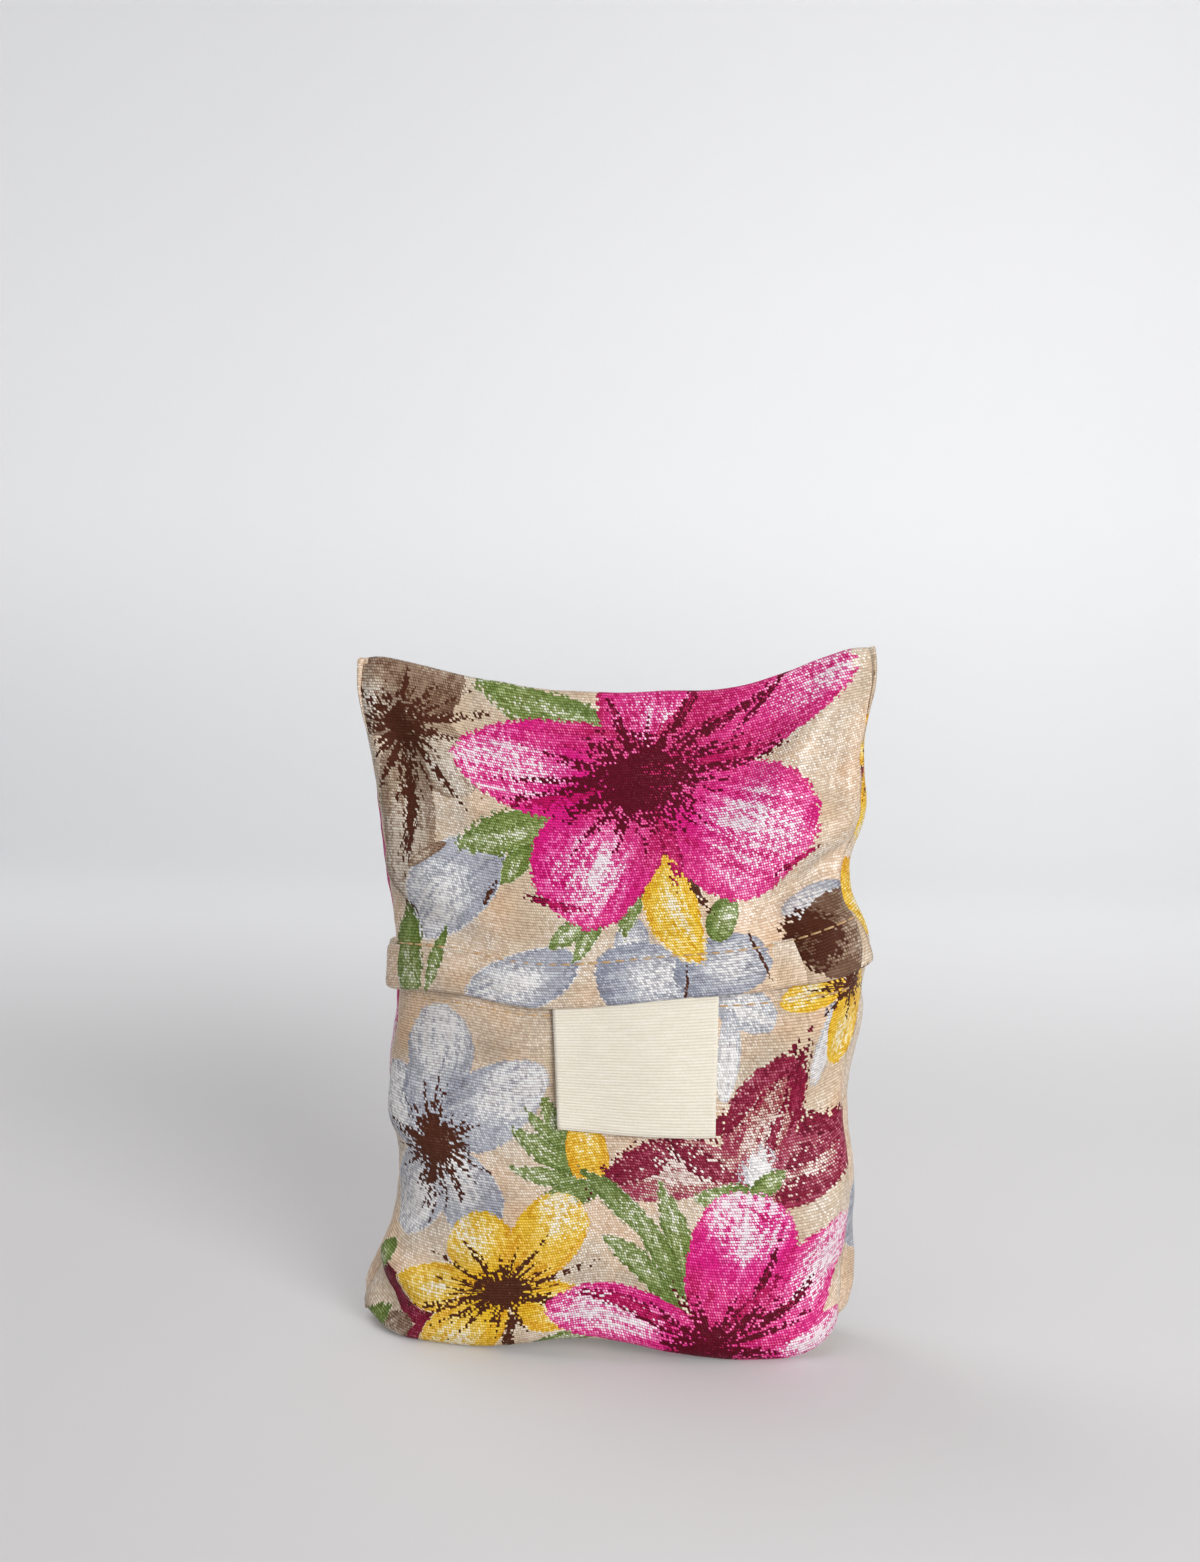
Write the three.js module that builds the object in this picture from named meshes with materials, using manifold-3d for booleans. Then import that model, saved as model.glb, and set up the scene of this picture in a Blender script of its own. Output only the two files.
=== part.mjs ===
// A shopping bag folded small inside its own satin pouch.
// The pouch is one strip of cloth: front panel, round the bottom, up the back, over the top and down the
// front again as a hood. Side seams close it, both ends are hemmed, and a folded tape label hangs from
// the mouth hem. Millimetres, +Z up, front towards -Y, standing on its flat bottom.
import * as THREE from "three";
import { mergeVertices } from "three/addons/utils/BufferGeometryUtils.js";
import Module from "manifold-3d";

const wasm = await Module();
wasm.setup();

// Pouch, outside
const pouchHeight = 150; // floor to the hood's top corners
const baseHalfWidth = 50; // flat bottom, at the floor
const bodyHalfWidth = 50; // seam to middle, at the filled part
const topHalfWidth = 55.5; // seam to middle, at the flat top corners
const earReach = 4.5; // bottom corners, past the base
const earHeight = 3;
const baseHalfDepth = 16; // flat bottom, front to middle
const bodyHalfDepth = 19.5; // filled part, front to middle
const topHalfDepth = 1.2; // the fold along the top
const bellyHeight = 45; // where the filled part is fullest
const shoulderBelowTop = 55; // where the hood starts to flatten
const shoulderHalfDepth = 17.8;
const neckBelowTop = 24; // half way through the flattening
const neckHalfDepth = 8.5;
const crownDip = 9; // how far the top edge sags between its corners
const crownDipBelowTop = 34; // where that sag starts
const sectionPower = 2.4; // 2 is an ellipse, more is boxier

// Cloth, hems and seams
const clothThickness = 0.6;
const seamWidth = 1.8; // sewn edge, front and back panel together
const hoodEdgeHeight = 77; // the hood's free edge
const mouthOverlap = 11; // how far the front panel runs up under the hood
const hoodGap = 1.6; // between hood and front panel, where the label's end goes
const hemDepth = 10;
const hemExtra = 0.5; // a hem is turned cloth, so it is thicker
const clearance = 0.35; // between pieces that touch in the real bag

// Label, a tape folded in half
const labelWidth = 34;
const labelLength = 29; // below the hood's edge
const labelTuck = 7; // under the hood's edge
const labelThickness = 0.8;
const labelRoom = 0.4; // either side of the end pressed under the hood
const labelPress = 4; // over which the tape thins to that end
const labelMiddle = 7; // to the right of the pouch's middle

// Folded bag and its handles
const bagBelowTop = 40; // head room over the folded bag
const bagRounding = 6;
const handleInset = 4; // from the bag's flat top edge to a folded strap's end
const handleGap = 3; // between the two straps
const handleWidth = 16;
const handleThickness = 4;

// Threads
const threadDiameter = 0.5;
const hoodStitchReach = 43; // stitch line's end, from the middle
const mouthStitchDrop = 1.6; // mouth stitch line, below the hood's edge
const labelClimb = 4; // over which the mouth thread climbs onto the label

// Fineness of the faceted solids
const sidesAround = 40;
const levelsUp = 15;
const levelCrowding = 1.4; // over 1 puts more levels near the bottom
const arcSteps = 3;
const threadSpans = 30;
const labelFacets = 8;

// The front panel's top edge lies under the hood.
const mouthHeight = hoodEdgeHeight + mouthOverlap;
const hoodLift = clothThickness + hoodGap;
const bagTop = pouchHeight - bagBelowTop;
const threadLift = clearance + threadDiameter / 2; // a thread's middle, off the cloth
const besideThread = seamWidth + hemExtra + 2 * threadLift + clearance; // the bag's side, off the seam

// A smooth function of height through [height, value] knots.
function throughKnots(knots) {
  const slope = (i) => {
    const before = knots[Math.max(i - 1, 0)];
    const after = knots[Math.min(i + 1, knots.length - 1)];
    return (after[1] - before[1]) / (after[0] - before[0]);
  };
  return (height) => {
    const h = THREE.MathUtils.clamp(height, knots[0][0], knots.at(-1)[0]);
    const i = Math.max(0, knots.findIndex((k) => k[0] >= h) - 1);
    const [h0, v0] = knots[i];
    const [h1, v1] = knots[i + 1];
    const span = h1 - h0;
    const t = (h - h0) / span;
    const rise = t * t * (3 - 2 * t);
    const leave = t * (1 - t) * (1 - t);
    const arrive = t * t * (t - 1);
    return v0 + (v1 - v0) * rise + span * (slope(i) * leave + slope(i + 1) * arrive);
  };
}

const halfWidth = throughKnots([
  [0, baseHalfWidth],
  [earHeight, baseHalfWidth + earReach],
  [3 * earHeight, bodyHalfWidth + earReach / 4],
  [bellyHeight, bodyHalfWidth],
  [pouchHeight - shoulderBelowTop, bodyHalfWidth],
  [pouchHeight - neckBelowTop, (bodyHalfWidth + topHalfWidth) / 2],
  [pouchHeight, topHalfWidth],
]);

const halfDepth = throughKnots([
  [0, baseHalfDepth],
  [2 * earHeight, (baseHalfDepth + bodyHalfDepth) / 2],
  [bellyHeight, bodyHalfDepth],
  [pouchHeight - shoulderBelowTop, shoulderHalfDepth],
  [pouchHeight - neckBelowTop, neckHalfDepth],
  [pouchHeight, topHalfDepth],
]);

// The top edge hangs a little between the two corners.
function sag(x, z) {
  const ramp = THREE.MathUtils.smoothstep(z, pouchHeight - crownDipBelowTop, pouchHeight);
  const across = Math.min(1, Math.abs(x) / topHalfWidth);
  return crownDip * (1 - across ** 2) * ramp;
}

const rounded = (value) => Math.sign(value) * Math.abs(value) ** (2 / sectionPower);

// A point of the pouch's rounded section at a height; front, back and side grow the section.
function sectionPoint(angle, z, { front = 0, back = 0, side = 0 } = {}) {
  const across = rounded(Math.cos(angle));
  const deep = rounded(Math.sin(angle));
  const x = (halfWidth(z) + side) * across;
  const y = (halfDepth(z) + (deep < 0 ? front : back)) * deep;
  return new THREE.Vector3(x, y, z - sag(x, z));
}

// The front surface over a place x at a height, grown forwards and sideways.
function frontAt(x, z, front, side = 0) {
  const across = Math.min(1, Math.abs(x) / (halfWidth(z) + side));
  const deep = (1 - across ** sectionPower) ** (1 / sectionPower);
  return -(halfDepth(z) + front) * deep;
}

function onlyPositions(geometry) {
  geometry.deleteAttribute("normal");
  geometry.deleteAttribute("uv");
  return mergeVertices(geometry);
}

function solidOf(geometry) {
  return new wasm.Manifold(
    new wasm.Mesh({
      numProp: 3,
      vertProperties: geometry.getAttribute("position").array,
      triVerts: new Uint32Array(geometry.index.array),
    }),
  );
}

function geometryOf(solid) {
  const mesh = solid.getMesh();
  return new THREE.BufferGeometry()
    .setAttribute("position", new THREE.BufferAttribute(new Float32Array(mesh.vertProperties), 3))
    .setIndex(new THREE.BufferAttribute(new Uint32Array(mesh.triVerts), 1));
}

// The heights of all section rings from one height to another. Every layer of cloth shares them.
function ringsBetween(from, to) {
  const rings = [from];
  for (let i = 1; i < levelsUp; i++) {
    const z = pouchHeight * (i / levelsUp) ** levelCrowding;
    if (z > from + 1 && z < to - 1) rings.push(z);
  }
  rings.push(to);
  return rings;
}

// A closed cylinder reshaped to the pouch's form between two heights. taper narrows its upper end.
function pillow(from, to, grow = {}, taper = () => 0) {
  const rings = ringsBetween(from, to);
  const spans = rings.length - 1;
  const shape = new THREE.CylinderGeometry(1, 1, 1, sidesAround, spans).rotateX(Math.PI / 2);
  const geometry = onlyPositions(shape);
  const place = geometry.getAttribute("position");
  const { front = 0, back = 0, side = 0 } = grow;
  for (let i = 0; i < place.count; i++) {
    const z = rings[Math.round((place.getZ(i) + 0.5) * spans)];
    const angle = Math.atan2(place.getY(i), place.getX(i));
    const less = taper(z);
    const point = sectionPoint(angle, z, { front: front - less, back: back - less, side: side - less });
    if (Math.hypot(place.getX(i), place.getY(i)) < 0.5) point.set(0, 0, z - sag(0, z));
    place.setXYZ(i, ...point);
  }
  return geometry;
}

const pillowSolid = (...settings) => solidOf(pillow(...settings));

// Everything in front of the seam plane.
function frontHalf() {
  const size = 4 * pouchHeight;
  const block = new THREE.BoxGeometry(size, size, size).translate(0, -size / 2, 0);
  return solidOf(onlyPositions(block));
}

// One strip of cloth, folded and sewn: body, hood and both hems, open at the mouth under the hood.
function pouchCloth() {
  const wall = -clothThickness;
  const inside = { front: wall, back: wall, side: -seamWidth };
  const underHood = { front: hoodLift - clothThickness, back: wall, side: -seamWidth };
  const hemmed = { front: hoodLift + hemExtra, back: wall / 2 };
  const body = pillowSolid(0, pouchHeight);
  const hood = pillowSolid(hoodEdgeHeight, pouchHeight, { front: hoodLift, back: wall / 2 });
  const hoodHem = pillowSolid(hoodEdgeHeight, hoodEdgeHeight + hemDepth, hemmed);
  const cavity = pillowSolid(clothThickness, pouchHeight - 2 * clothThickness, inside);
  const mouth = pillowSolid(hoodEdgeHeight - 1, mouthHeight, underHood);
  const panelInMouth = pillowSolid(hoodEdgeHeight - 2, mouthHeight + 1);
  const headRoom = pillowSolid(mouthHeight, pouchHeight - 2 * clothThickness, underHood);
  const mouthHem = pillowSolid(mouthHeight - hemDepth, mouthHeight - clothThickness, {
    front: wall / 2,
    back: wall / 2,
    side: -seamWidth / 2,
  })
    .subtract(pillowSolid(mouthHeight - hemDepth - 1, mouthHeight, {
      front: wall - hemExtra,
      back: wall - hemExtra,
      side: -seamWidth - hemExtra,
    }))
    .intersect(frontHalf());
  const cloth = body
    .add(hood)
    .add(hoodHem)
    .subtract(cavity)
    .subtract(mouth.subtract(panelInMouth))
    .subtract(headRoom)
    .add(mouthHem);
  return geometryOf(cloth);
}

// The bag's body, folded flat and turned into a soft block that fills the pouch.
function foldedBag() {
  const gap = clothThickness + hemExtra + clearance;
  const roundOff = (z) => {
    const t = THREE.MathUtils.clamp((z - bagTop + bagRounding) / bagRounding, 0, 1);
    return bagRounding * (1 - Math.sqrt(1 - t * t));
  };
  const grow = { front: -gap, back: -gap, side: -besideThread };
  return pillow(clothThickness + clearance, bagTop, grow, roundOff);
}

// A strap folded to and fro: a flat pack with round ends, lying on the folded bag's flat top.
// side is -1 for left and 1 for right.
function foldedHandle(side) {
  const reach = halfWidth(bagTop) - besideThread - bagRounding - handleInset;
  const length = reach - handleGap / 2;
  const middle = side * (reach - length / 2);
  const end = handleThickness / 2;
  const straight = length / 2 - end;
  const outline = new THREE.Shape();
  outline.moveTo(-straight, -end);
  outline.lineTo(straight, -end);
  outline.absarc(straight, 0, end, -Math.PI / 2, Math.PI / 2, false);
  outline.lineTo(-straight, end);
  outline.absarc(-straight, 0, end, Math.PI / 2, (3 * Math.PI) / 2, false);
  const settings = { depth: handleWidth, bevelEnabled: false, curveSegments: arcSteps };
  const strap = new THREE.ExtrudeGeometry(outline, settings);
  strap.translate(0, 0, -handleWidth / 2).rotateX(Math.PI / 2);
  return onlyPositions(strap.translate(middle, 0, bagTop + clearance + end));
}

// Two layers of tape that follow the front panel, with the upper end pressed flat under the hood.
function label() {
  const length = labelLength + labelTuck;
  const tape = new THREE.BoxGeometry(labelWidth, 1, length, labelFacets, 1, labelFacets);
  const geometry = onlyPositions(tape);
  const place = geometry.getAttribute("position");
  for (let i = 0; i < place.count; i++) {
    const x = place.getX(i) + labelMiddle;
    const z = place.getZ(i) + hoodEdgeHeight + labelTuck - length / 2;
    const tucked = THREE.MathUtils.smoothstep(z, hoodEdgeHeight - labelPress, hoodEdgeHeight);
    const inner = frontAt(x, z, labelRoom);
    const hanging = frontAt(x, z, labelRoom + labelThickness);
    const pressed = frontAt(x, z, hoodGap - labelRoom, -seamWidth);
    const outer = THREE.MathUtils.lerp(hanging, pressed, tucked);
    place.setXYZ(i, x, place.getY(i) < 0 ? outer : inner, z);
  }
  return geometry;
}

// A thread laid along points.
function thread(points) {
  const section = new THREE.Shape();
  section.absarc(0, 0, threadDiameter / 2, 0, 2 * Math.PI, false);
  const along = new THREE.CatmullRomCurve3(points);
  const steps = points.length;
  const settings = { steps, extrudePath: along, bevelEnabled: false, curveSegments: arcSteps };
  return onlyPositions(new THREE.ExtrudeGeometry(section, settings));
}

// The row of stitches that holds the hood's hem.
function hoodHemThread() {
  const z = hoodEdgeHeight + hemDepth - 2 * threadDiameter;
  const points = [];
  for (let i = 0; i <= threadSpans; i++) {
    const x = hoodStitchReach * ((2 * i) / threadSpans - 1);
    points.push(new THREE.Vector3(x, frontAt(x, z, hoodLift + hemExtra + threadLift, threadLift), z));
  }
  return thread(points);
}

// The row of stitches that holds the front panel's hem and the label on it.
function mouthHemThread() {
  const z = hoodEdgeHeight - mouthStitchDrop;
  const points = [];
  for (let i = 0; i <= threadSpans; i++) {
    const x = hoodStitchReach * ((2 * i) / threadSpans - 1);
    const beside = Math.abs(x - labelMiddle) - labelWidth / 2;
    const over = 1 - THREE.MathUtils.smoothstep(beside, 1, 1 + labelClimb);
    const lift = threadLift + over * (labelThickness + labelRoom);
    points.push(new THREE.Vector3(x, frontAt(x, z, lift, threadLift), z));
  }
  return thread(points);
}

// The row of stitches inside one side seam; side is -1 for left and 1 for right.
function sideSeamThread(side) {
  const points = [];
  const low = 4 * earHeight;
  const high = pouchHeight - crownDipBelowTop;
  for (let i = 0; i <= threadSpans; i++) {
    const z = low + ((high - low) * i) / threadSpans;
    const x = side * (halfWidth(z) - seamWidth - hemExtra - threadLift);
    points.push(new THREE.Vector3(x, 0, z));
  }
  return thread(points);
}

// Finishes
const printedSatin = { color: 0xcdb596, roughness: 0.45, metalness: 0 };
const cottonTape = { color: 0xece3cf, roughness: 0.85, metalness: 0 };
const sewingThread = { color: 0xd8a873, roughness: 0.6, metalness: 0 };

const pouch = new THREE.Group();

function addPiece(name, geometry, finish) {
  const piece = new THREE.Mesh(geometry, new THREE.MeshStandardMaterial(finish));
  piece.name = name;
  pouch.add(piece);
}

addPiece("pouch_cloth", pouchCloth(), printedSatin);
addPiece("folded_bag", foldedBag(), printedSatin);
addPiece("bag_handle_left", foldedHandle(-1), printedSatin);
addPiece("bag_handle_right", foldedHandle(1), printedSatin);
addPiece("label", label(), cottonTape);
addPiece("hood_hem_thread", hoodHemThread(), sewingThread);
addPiece("mouth_hem_thread", mouthHemThread(), sewingThread);
addPiece("left_seam_thread", sideSeamThread(-1), sewingThread);
addPiece("right_seam_thread", sideSeamThread(1), sewingThread);

// The origin is under the middle of the whole, on the floor.
const whole = new THREE.Box3().setFromObject(pouch);
const middle = whole.getCenter(new THREE.Vector3());
pouch.position.set(-middle.x, -middle.y, -whole.min.z);

export default pouch;
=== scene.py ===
"""Looks of a shopping bag folded small inside its own printed satin pouch.

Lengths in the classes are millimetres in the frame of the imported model, whose origin lies on the floor
under the pouch, with x to the right, y to the back and z up. Metres come in where a mesh is written, and
for the studio.
"""

import logging
import math
from dataclasses import dataclass, field, replace
from enum import Enum
from typing import Any, Callable, Iterable, Sequence

import bpy
import numpy as np
from mathutils import Matrix, Vector, noise
from mathutils.bvhtree import BVHTree


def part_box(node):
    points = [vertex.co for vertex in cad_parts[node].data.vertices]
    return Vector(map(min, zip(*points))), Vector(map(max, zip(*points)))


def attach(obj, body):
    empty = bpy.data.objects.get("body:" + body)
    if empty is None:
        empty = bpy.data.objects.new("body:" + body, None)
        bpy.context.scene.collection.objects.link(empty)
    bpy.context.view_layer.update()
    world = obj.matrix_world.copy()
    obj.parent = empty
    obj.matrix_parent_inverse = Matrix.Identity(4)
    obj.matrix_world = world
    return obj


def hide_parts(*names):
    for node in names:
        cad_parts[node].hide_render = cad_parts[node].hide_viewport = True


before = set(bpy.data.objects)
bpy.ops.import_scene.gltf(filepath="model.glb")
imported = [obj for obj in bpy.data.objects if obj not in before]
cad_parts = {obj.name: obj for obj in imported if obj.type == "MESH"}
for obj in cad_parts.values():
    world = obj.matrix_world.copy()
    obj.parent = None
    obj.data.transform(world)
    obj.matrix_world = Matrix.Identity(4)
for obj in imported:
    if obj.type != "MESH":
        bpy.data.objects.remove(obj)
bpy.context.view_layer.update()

log = logging.getLogger("pouch")

Colour = tuple[float, float, float, float]
Spot = tuple[float, float]
Path = list[tuple[Vector, Vector]]
Piece = bpy.types.Object
Material = bpy.types.Material
Socket = bpy.types.NodeSocket

MM = 0.001
FLAT_MAP = "flat"
FLAT_SPAN = 400.0


def srgb(red: int, green: int, blue: int) -> Colour:
    """Turn a colour as seen on a screen into the linear colour that a shader takes.

    Args:
        red: Red, 0 to 255.
        green: Green, 0 to 255.
        blue: Blue, 0 to 255.

    Returns:
        Linear red, green, blue and an alpha of 1.
    """
    parts = [c / 255 for c in (red, green, blue)]
    linear = [c / 12.92 if c <= 0.04045 else ((c + 0.055) / 1.055) ** 2.4 for c in parts]
    return linear[0], linear[1], linear[2], 1.0


def ease(value: Any, start: float, end: float) -> np.ndarray:
    """Rise smoothly from 0 at start to 1 at end.

    Args:
        value: Where to read the rise.
        start: Value at which the rise begins.
        end: Value at which it ends.

    Returns:
        The eased share, from 0 to 1.
    """
    share = np.clip((np.asarray(value, float) - start) / (end - start), 0, 1)
    return share * share * (3 - 2 * share)


def run_along(points: np.ndarray) -> np.ndarray:
    """Measure a line of points.

    Args:
        points: The points in order.

    Returns:
        How far along the line each point lies from the first.
    """
    return np.concatenate([[0], np.cumsum(np.linalg.norm(np.diff(points, axis=0), axis=1))])


@dataclass(frozen=True)
class Curve:
    """A smooth line through given points, read by their first number."""

    points: tuple[Spot, ...]

    def __call__(self, at: Any) -> np.ndarray:
        """Read the line.

        Args:
            at: First numbers at which to read it.

        Returns:
            The second numbers there, held level beyond both ends.
        """
        first, second = np.array(self.points, float).T
        slope = np.gradient(second, first)
        at = np.clip(np.asarray(at, float), first[0], first[-1])
        i = np.clip(np.searchsorted(first, at) - 1, 0, len(first) - 2)
        span = first[i + 1] - first[i]
        u = (at - first[i]) / span
        start = (1 + 2 * u) * (1 - u) ** 2 * second[i] + u * (1 - u) ** 2 * span * slope[i]
        end = u * u * (3 - 2 * u) * second[i + 1] + u * u * (u - 1) * span * slope[i + 1]
        return start + end


def deselect() -> None:
    """Leave nothing selected, so that an operator acts only on what is made next."""
    if bpy.context.object and bpy.context.object.mode != "OBJECT":
        bpy.ops.object.mode_set(mode="OBJECT")
    bpy.ops.object.select_all(action="DESELECT")


def select_edges(piece: Piece, wanted: Callable[[Vector, Vector], bool]) -> None:
    """Go into edit mode with only some of a piece's edges selected.

    Args:
        piece: Piece to edit, which is the active one.
        wanted: Test of an edge by its two ends.
    """
    bpy.ops.object.mode_set(mode="EDIT")
    bpy.ops.mesh.select_all(action="DESELECT")
    bpy.ops.object.mode_set(mode="OBJECT")
    for edge in piece.data.edges:
        edge.select = wanted(*(piece.data.vertices[v].co for v in edge.vertices))
    bpy.ops.object.mode_set(mode="EDIT")
    bpy.ops.mesh.select_mode(type="EDGE")


def make_sheet(name: str, points: np.ndarray, across: np.ndarray, along: np.ndarray) -> Piece:
    """Shape a grid into a sheet of cloth.

    Args:
        name: Name of the piece.
        points: Places of the grid's points in millimetres, row by row.
        across: Flat place of each column in millimetres.
        along: Flat place of each row in millimetres.

    Returns:
        The sheet, whose UV map is its flat size as a share of FLAT_SPAN.
    """
    deselect()
    rows, columns = points.shape[:2]
    bpy.ops.mesh.primitive_grid_add(x_subdivisions=columns - 1, y_subdivisions=rows - 1, size=1)
    sheet = bpy.context.object
    sheet.name = name
    mesh = sheet.data
    mesh.name = name
    mesh.vertices.foreach_set("co", (points * MM).astype(np.float32).ravel())
    flat = np.stack(np.meshgrid(across, along), 2).reshape(-1, 2) / FLAT_SPAN + 0.5
    corners = np.zeros(len(mesh.loops), np.int32)
    mesh.loops.foreach_get("vertex_index", corners)
    mesh.uv_layers[0].name = FLAT_MAP
    mesh.uv_layers[0].data.foreach_set("uv", flat[corners].astype(np.float32).ravel())
    mesh.update()
    bpy.ops.object.shade_smooth()
    return sheet


def apply_modifier(piece: Piece, kind: str, **settings: Any) -> None:
    """Add a modifier to a piece and apply it.

    Args:
        piece: Piece to change.
        kind: Kind of modifier.
        settings: The modifier's settings.
    """
    deselect()
    piece.select_set(True)
    bpy.context.view_layer.objects.active = piece
    bpy.ops.object.modifier_add(type=kind)
    modifier = piece.modifiers[-1]
    for name, value in settings.items():
        setattr(modifier, name, value)
    bpy.ops.object.modifier_apply(modifier=modifier.name)


def subdivide(piece: Piece, levels: int) -> None:
    """Smooth a piece by subdivision."""
    apply_modifier(piece, "SUBSURF", levels=levels, render_levels=levels)


def thicken(piece: Piece, thickness: float) -> None:
    """Give a sheet its thickness in millimetres, half to each side."""
    apply_modifier(piece, "SOLIDIFY", thickness=thickness * MM, offset=0.0)


def settle(
    piece: Piece, node: str, material: Material | None = None
) -> None:
    """Dress a piece and tie it to the frame.

    Args:
        piece: Piece to settle.
        node: The CAD node that it stands for.
        material: Its material, or none where it is dressed already.
    """
    if material:
        piece.data.materials.clear()
        piece.data.materials.append(material)
    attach(piece, "root")
    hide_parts(node)
    log.info("%s stands for %s, %d faces", piece.name, node, len(piece.data.polygons))


def operator(operation: str, turned: bool = False) -> Callable[["Value", Any], "Value"]:
    """Make one of a shader value's operators.

    Args:
        operation: The Math node's operation.
        turned: Whether the other term comes first.

    Returns:
        The operator.
    """
    def add_node(self: "Value", other: Any) -> "Value":
        """Add the Math node for two terms."""
        return self.math(operation, *((other, self) if turned else (self, other)))

    return add_node


class Value:
    """A number that runs through a shader; sums on it add Math nodes."""

    def __init__(self, shader: "Nodes", socket: Socket) -> None:
        """Wrap an output socket of a node."""
        self.shader = shader
        self.socket = socket

    def math(self, operation: str, *terms: Any) -> "Value":
        """Add a Math node.

        Args:
            operation: The node's operation.
            terms: Numbers or values for its sockets.

        Returns:
            The node's result.
        """
        node = self.shader.node("ShaderNodeMath", {"operation": operation}, dict(enumerate(terms)))
        return Value(self.shader, node.outputs[0])

    __add__ = __radd__ = operator("ADD")
    __sub__ = operator("SUBTRACT")
    __rsub__ = operator("SUBTRACT", turned=True)
    __mul__ = __rmul__ = operator("MULTIPLY")
    __truediv__ = operator("DIVIDE")
    __rtruediv__ = operator("DIVIDE", turned=True)
    __pow__ = operator("POWER")
    __rpow__ = operator("POWER", turned=True)
    __mod__ = operator("FLOORED_MODULO")
    __rmod__ = operator("FLOORED_MODULO", turned=True)
    __lt__ = operator("LESS_THAN")
    __gt__ = operator("GREATER_THAN")

    def __abs__(self) -> "Value":
        """Size without sign."""
        return self.math("ABSOLUTE", self)

    def floor(self) -> "Value":
        """Whole part."""
        return self.math("FLOOR", self)

    def stripe(self) -> "Value":
        """Run up and down with each whole step: 1 at whole numbers and 0 half-way between them."""
        return abs(self % 1 - 0.5) * 2

    def clamp(self) -> "Value":
        """Held between 0 and 1."""
        return Value(self.shader, self.shader.node("ShaderNodeClamp", {}, {0: self}).outputs[0])

    def ease(self, start: float, end: float) -> "Value":
        """Rise smoothly.

        Args:
            start: Value at which the rise begins, at 0.
            end: Value at which it ends, at 1.

        Returns:
            The eased share.
        """
        settings = {"interpolation_type": "SMOOTHSTEP"}
        node = self.shader.node("ShaderNodeMapRange", settings, {0: self, 1: start, 2: end, 3: 0.0, 4: 1.0})
        return Value(self.shader, node.outputs[0])


class Nodes:
    """A node tree in the making: nodes are added to it one by one."""

    def __init__(self, tree: bpy.types.NodeTree) -> None:
        """Take a tree to fill."""
        self.tree = tree

    def node(self, kind: str, settings: dict[str, Any], inputs: dict[Any, Any]) -> bpy.types.Node:
        """Add a node.

        Args:
            kind: The node's type.
            settings: The node's own settings, which are set first; a ramp's stops go under "stops".
            inputs: Numbers, values or sockets by the name or number of the node's input.

        Returns:
            The node.
        """
        node = self.tree.nodes.new(kind)
        for name, value in settings.items():
            if name == "stops":
                self.set_stops(node.color_ramp, value)
            else:
                setattr(node, name, value)
        for key, value in inputs.items():
            self.feed(node.inputs[key], value)
        return node

    def set_stops(self, ramp: bpy.types.ColorRamp, stops: Sequence[tuple[float, Colour]]) -> None:
        """Give a ramp its stops.

        Args:
            ramp: Ramp to fill.
            stops: Place and colour of each stop, in order.
        """
        ramp.interpolation = "CONSTANT"
        while len(ramp.elements) < len(stops):
            ramp.elements.new(1.0)
        for element, (place, colour) in zip(ramp.elements, stops):
            element.position = place
            element.color = colour

    def feed(self, socket: Socket, value: Any) -> None:
        """Link a value or socket to an input, or set a constant on it.

        Args:
            socket: Input to feed.
            value: What to feed it.
        """
        if isinstance(value, Value):
            self.tree.links.new(value.socket, socket)
        elif isinstance(value, Socket):
            self.tree.links.new(value, socket)
        else:
            socket.default_value = value

    def split(self, vector: Any) -> tuple[Value, Value, Value]:
        """Take a vector apart into its three numbers."""
        parts = self.node("ShaderNodeSeparateXYZ", {}, {0: vector}).outputs
        return Value(self, parts[0]), Value(self, parts[1]), Value(self, parts[2])

    def join(self, x: Any, y: Any, z: Any) -> Socket:
        """Make a vector of three numbers."""
        return self.node("ShaderNodeCombineXYZ", {}, {0: x, 1: y, 2: z}).outputs[0]

    def blend(self, share: Any, first: Any, second: Any, way: str = "MIX") -> Socket:
        """Mix two colours.

        Args:
            share: Share of the second colour.
            first: First colour.
            second: Second colour.
            way: How the second goes over the first.

        Returns:
            The mixed colour.
        """
        settings = {"data_type": "RGBA", "blend_type": way}
        return self.node("ShaderNodeMix", settings, {0: share, 6: first, 7: second}).outputs[2]

    def choose(self, share: Any, first: Any, second: Any) -> Socket:
        """Mix two vectors."""
        inputs = {0: share, 4: first, 5: second}
        return self.node("ShaderNodeMix", {"data_type": "VECTOR"}, inputs).outputs[1]

    def noise(self, vector: Any, scale: float, detail: float = 2.0) -> Value:
        """Soft noise, from 0 to 1."""
        node = self.node("ShaderNodeTexNoise", {}, {"Vector": vector, "Scale": scale, "Detail": detail})
        return Value(self, node.outputs[0])

    def speckle(self, vector: Any) -> Value:
        """A number of its own for each whole place, from 0 to 1."""
        return Value(self, self.node("ShaderNodeTexWhiteNoise", {}, {"Vector": vector}).outputs["Value"])

    def place(self) -> Socket:
        """Place on the piece in metres."""
        return self.node("ShaderNodeTexCoord", {}, {}).outputs["Object"]

    def seen(self) -> Value:
        """Tell the rays that look from those that light.

        Returns:
            1 where the camera, a reflection or a clear surface looks, 0 for light that lands on things.
        """
        rays = self.node("ShaderNodeLightPath", {}, {}).outputs
        looks = ("Is Camera Ray", "Is Glossy Ray", "Is Transmission Ray")
        first, second, third = (Value(self, rays[look]) for look in looks)
        return (first + second + third).clamp()


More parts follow.
